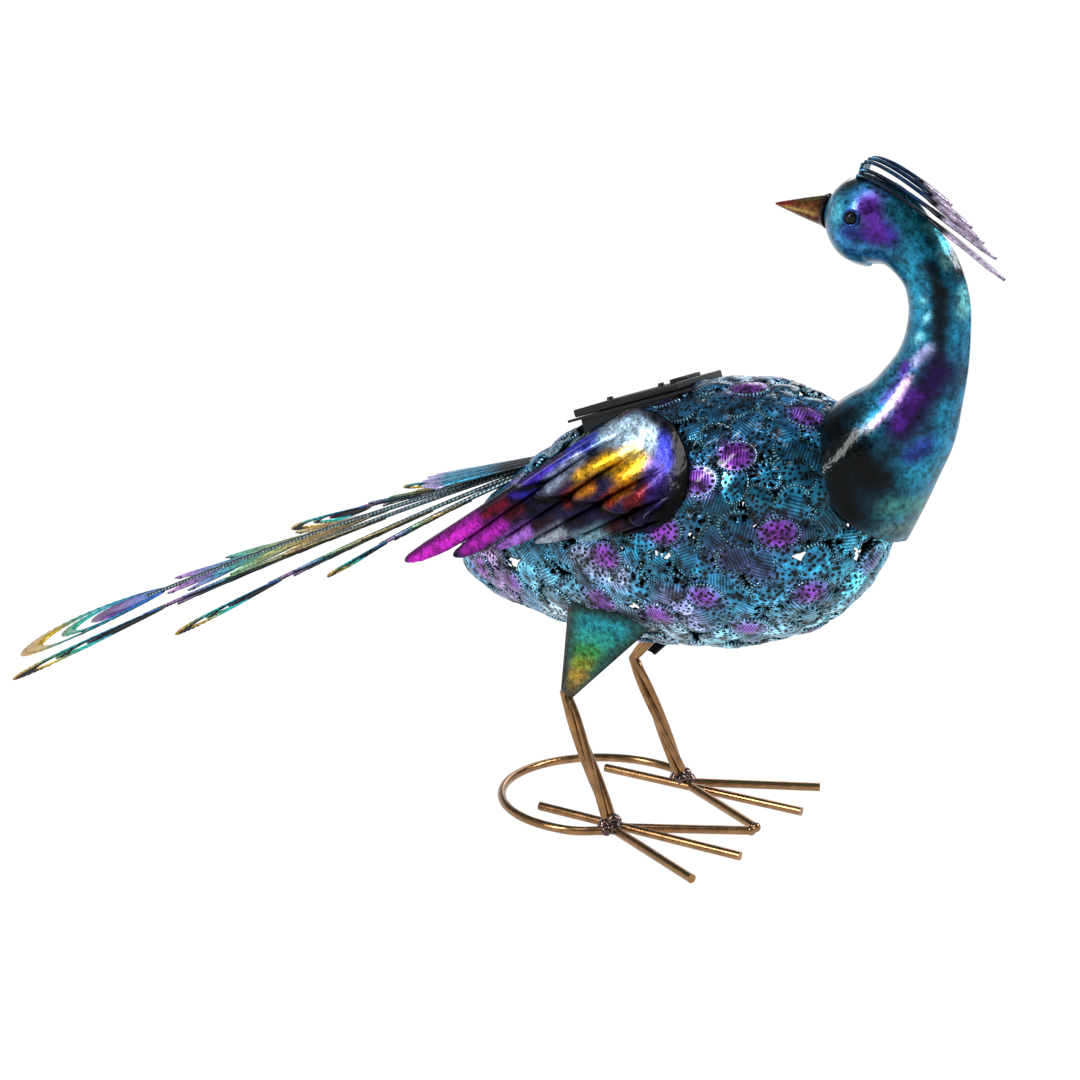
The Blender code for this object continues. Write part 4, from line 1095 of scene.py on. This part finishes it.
def addFeet():
    bm = bmesh.new()
    foot, level = Vector((0, leg["foot"].y, 0)), wire["thick"] / 2
    for place, radius in weld["lumps"]:
        lump = bmesh.ops.create_icosphere(bm, subdivisions=3, radius=radius)["verts"]
        for vert in lump:
            x, y, z = vert.co
            ripple = 1 + 0.08 * sin(2.1 * x + radius) * sin(1.9 * y + place[0])
            ripple += 0.05 * sin(2.6 * z)
            vert.co = foot + Vector(place) + vert.co * ripple
            vert.co.z = max(0.0, vert.co.z)
        coatSecond(lump)
    # the inner toes meet in a round bead
    bead = bmesh.ops.create_uvsphere(bm, u_segments=24, v_segments=12, radius=weld["bead"])["verts"]
    for vert in bead:
        vert.co = Vector((wire["meet"], -level - 0.2, level)) + vert.co
        vert.co = Vector((vert.co.x, min(vert.co.y, -0.1), max(0.0, vert.co.z)))
    for start, end in (
        ((0, foot.y), (wire["meet"], -level - 0.15)),
        ((0, foot.y), wire["outer"]),
        (wire["back"], wire["middle"]),
    ):
        addWire(bm, [(*start, level), (*end, level)], wire["thick"], 20)
    outward(bm)
    newPair("foot", bm, ["wire", "weld"], "foot")


def addRing():
    bm = bmesh.new()
    points, steps = [], ring["steps"]
    for i in range(steps + 1):
        angle = radians(ring["end"] + (360 - 2 * ring["end"]) * i / steps)
        # its ends bend in under the welds
        radius = ring["radius"] - ring["tuck"] * smoothStep(6, 0, min(i, steps - i))
        points.append((ring["x"] + radius * cos(angle), radius * sin(angle), wire["thick"] / 2))
    addWire(bm, points, wire["thick"], 20)
    outward(bm)
    newPiece("baseRing", bm, ["wire"], ["base_ring"])
    print("legs standing")


# Tail

tail = {
    "root": Vector((-60, 0, 150.5)), "layer": 1.5, "sheet": 0.9,
    "feathers": (
        # node, root y, layer, tip, droop, roll
        ("tail_feather_long_left", 2.7, 2, (-386, -20, 13.5), 12, -26),
        ("tail_feather_long_right", -2.7, 2, (-352, -56, 14), 12, 8),
        ("tail_feather_middle_left", 7.5, 1, (-244, 48, 88), 5, 8),
        ("tail_feather_middle_right", -7.5, 1, (-240, -50, 56), 7, 8),
        ("tail_feather_short_left", 12.5, 0, (-172, 52, 119), 1, 8),
        ("tail_feather_short_right", -12.5, 0, (-150, -42, 97), 4, 8),
    ),
    # widths of the shaft, barbs and eye, and the pitch of the cord on the shaft's edges
    "shaft": 3.6, "barb": 20, "eye": 25, "cord": 1.6,
    # shares of the length: where the shaft ends and the eye starts, and the barbs' first, step and run
    "shaftEnd": 0.72, "eyeFrom": 0.68, "barbFrom": 0.27, "barbStep": 0.055, "barbLong": 0.13, "barbs": 6,
    # an eye is three drops that share a foot: from and to, as shares of its length
    "drops": ((0.84, 1.0), (0.61, 0.71), (0.0, 0.5)),
}
tailPaint = {
    # colour by share of the length, from root to tip
    "shaft": ((0.0, "1E2226"), (0.25, "2A4452"), (0.4, "26343C"), (0.7, "20262A")),
    "cord": "9FB4B8",
    "barb": (
        (0.28, "7A7460"), (0.36, "CDB078"), (0.43, "B8C88C"), (0.49, "6CC0A8"),
        (0.54, "5CB0D8"), (0.6, "B48CD8"), (0.66, "D89CD4"), (0.74, "A884C0"),
    ),
    "drops": (
        (
            (0.0, "3C78D8"), (0.3, "28A8C8"), (0.6, "34B0B0"), (0.72, "7A9C6C"), (0.8, "D8B83C"),
            (1.0, "D89428"),
        ),
        ((0.0, "4470E0"), (0.45, "38A8E0"), (0.8, "2CC0B0"), (1.0, "3C9440")),
        ((0.0, "4C90E8"), (0.35, "4470D8"), (0.65, "8450B8"), (0.9, "9468A8"), (1.0, "6C6878")),
    ),
}


def drop(angle, scale):
    # a teardrop with its point at angle 0; along and aside run to 1
    return scale * (1 - cos(angle)) / 2, scale * sin(angle) * (1 - 0.35 * cos(angle))


def spine(root, tip, droop, roll):
    # gives places by share of the length, aside across the rolled sheet, and lifted off it
    middle = (root + tip) / 2 + Vector((0, 0, droop))

    def placeOn(share, side, lift):
        place = bent(root, middle, tip, share)
        forward = ((middle - root) * (1 - share) + (tip - middle) * share).normalized()
        level = Vector((0, 0, 1)).cross(forward).normalized()
        across = Matrix.Rotation(radians(roll) * min(1.0, share * 2), 3, forward) @ level
        return place + across * side + forward.cross(across) * lift

    return placeOn


def addShaft(bm, paint, placeOn, length):
    # raised, with corded edges, narrowing to the eye
    rows = round(length / tail["cord"])
    for vert, off, along in addGrid(bm, 6, rows):
        share, cord = along * tail["shaftEnd"], round(along * rows) % 2
        lift = 1.5 * (1 - off * off) ** 0.7 + 0.15 * cord
        vert.co = placeOn(share, off * tail["shaft"] / 2 * (1.1 - 0.5 * share), lift)
        edge = 0.5 < abs(off) < 0.9
        dark = ramp(tailPaint["shaft"], share) * (1 - 0.5 * edge)
        vert[paint] = linear(tailPaint["cord"]) if edge and cord else dark


def addBarb(bm, paint, placeOn, length, slim, number, side):
    # a long grooved blade swept back along the shaft, its point free
    first = tail["barbFrom"] + tail["barbStep"] * number + 0.012 * side
    last = first + tail["barbLong"] + 0.02 * sin(7 * number + side)
    reach = tail["barb"] / 2 * slim * (0.75 + 0.25 * sin(3 * number + 2 * side))
    run = Vector(((last - first) * length, side * reach))
    normal = Vector((-run.y, run.x)).normalized()
    for vert, off, along in addGrid(bm, 6, 14):
        wide = 3.0 * slim * sin(pi * (0.1 + 0.9 * along)) ** 0.6
        spot = Vector((first * length, 0)) + run * along ** 1.15 + normal * off * wide
        groove = 0.5 + 0.5 * cos(3 * pi * off)
        vert.co = placeOn(spot.x / length, spot.y, 0.45 * groove + 0.25 * (number % 2))
        shade = (0.35 + 0.75 * groove) * (0.55 + 0.6 * along)
        vert[paint] = ramp(tailPaint["barb"], first + 0.08 * along) * shade


def addEyeDrop(bm, paint, placeOn, slim, stops, inner, outer):
    # a band between two teardrops, beaded along its outer edge
    turns = 96 if outer > 0.8 else 60
    inmost = outer < 0.6
    band = addGrid(bm, 6, turns)
    for vert, side, share in band:
        off, angle = (side + 1) / 2, pi * (2 * share - 1)
        bead = round(share * turns) % 2
        scale = inner + (outer - inner) * off
        along, aside = drop(angle, scale * (1 - 0.025 * bead * (off > 0.9)))
        lift = 0.5 * sin(pi * off) + 0.35 * bead * (off > 0.7) + 0.3 * inmost
        aside *= tail["eye"] / 2 * slim / 1.13
        vert.co = placeOn(tail["eyeFrom"] + along * (1 - tail["eyeFrom"]), aside, lift)
        vein = 0.75 + 0.35 * cos(18 * angle) * inmost
        vert[paint] = ramp(stops, along / outer) * vein * (0.3 if bead and 0.6 < off < 0.95 else 1.0)
    bmesh.ops.remove_doubles(bm, verts=[vert for vert, side, share in band], dist=0.02)


def addTail():
    for name, rootY, layer, tip, droop, roll in tail["feathers"]:
        tip, root = Vector(tip), tail["root"] + Vector((0, rootY, layer * tail["layer"]))
        placeOn, length = spine(root, tip, droop, roll), (tip - root).length
        slim = min(1.0, 0.45 + length / 400)
        bm = bmesh.new()
        paint = bm.verts.layers.float_color.new("paint")
        addShaft(bm, paint, placeOn, length)
        for number in range(tail["barbs"]):
            for side in (-1, 1):
                addBarb(bm, paint, placeOn, length, slim, number, side)
        for stops, (inner, outer) in zip(tailPaint["drops"], tail["drops"]):
            addEyeDrop(bm, paint, placeOn, slim, stops, inner, outer)
        facing(bm.faces, (0, 0, 1))
        piece = newPiece(name.replace("tail_", ""), bm, ["tail", "under"], [name])
        thicken(piece, tail["sheet"])
    print("tail spread")


cover = {"length": 66, "wide": 46, "lift": 8, "groove": 0.9, "slope": 0.27, "arch": 4, "ahead": 6, "ribs": 12}
coverPaint = {"root": "33383E", "middle": "3F8FB0", "tip": "A79AD0"}


def addCover():
    bm = bmesh.new()
    paint = bm.verts.layers.float_color.new("paint")
    front = tail["root"].x + cover["ahead"]
    for vert, across, along in addGrid(bm, cover["ribs"] * 4, 24):
        rib = 0.5 - 0.5 * cos(pi * (across + 1) / 2 * cover["ribs"])
        reach = along * (1 - 0.14 * (1 - rib) * smoothStep(0.7, 1, along))
        x = front - cover["length"] * reach * (1 - 0.18 * across * across)
        y = across * cover["wide"] / 2 * (0.55 + 0.45 * along)
        z = tail["root"].z + cover["lift"] + cover["groove"] * rib
        z -= (front - x) * cover["slope"] + cover["arch"] * (2 * y / cover["wide"]) ** 2
        vert.co = (x, y, z)
        tone = smoothStep(0.25, 0.6, along)
        tipTone = smoothStep(0.8, 0.95, along)
        colour = linear(coverPaint["root"]) * (1 - tone) + linear(coverPaint["middle"]) * tone
        vert[paint] = colour * (1 - tipTone) + linear(coverPaint["tip"]) * tipTone
    facing(bm.faces, (0, 0, 1))
    piece = newPiece("tailCover", bm, ["tail", "under"], ["tail_cover"])
    thicken(piece, tail["sheet"])


addCamera()
addStudio()
addBody()
addNeck()
addBeak()
addEyes()
addCrest()
addWings()
addLid()
addThighs()
addLegs()
addFeet()
addRing()
addTail()
addCover()
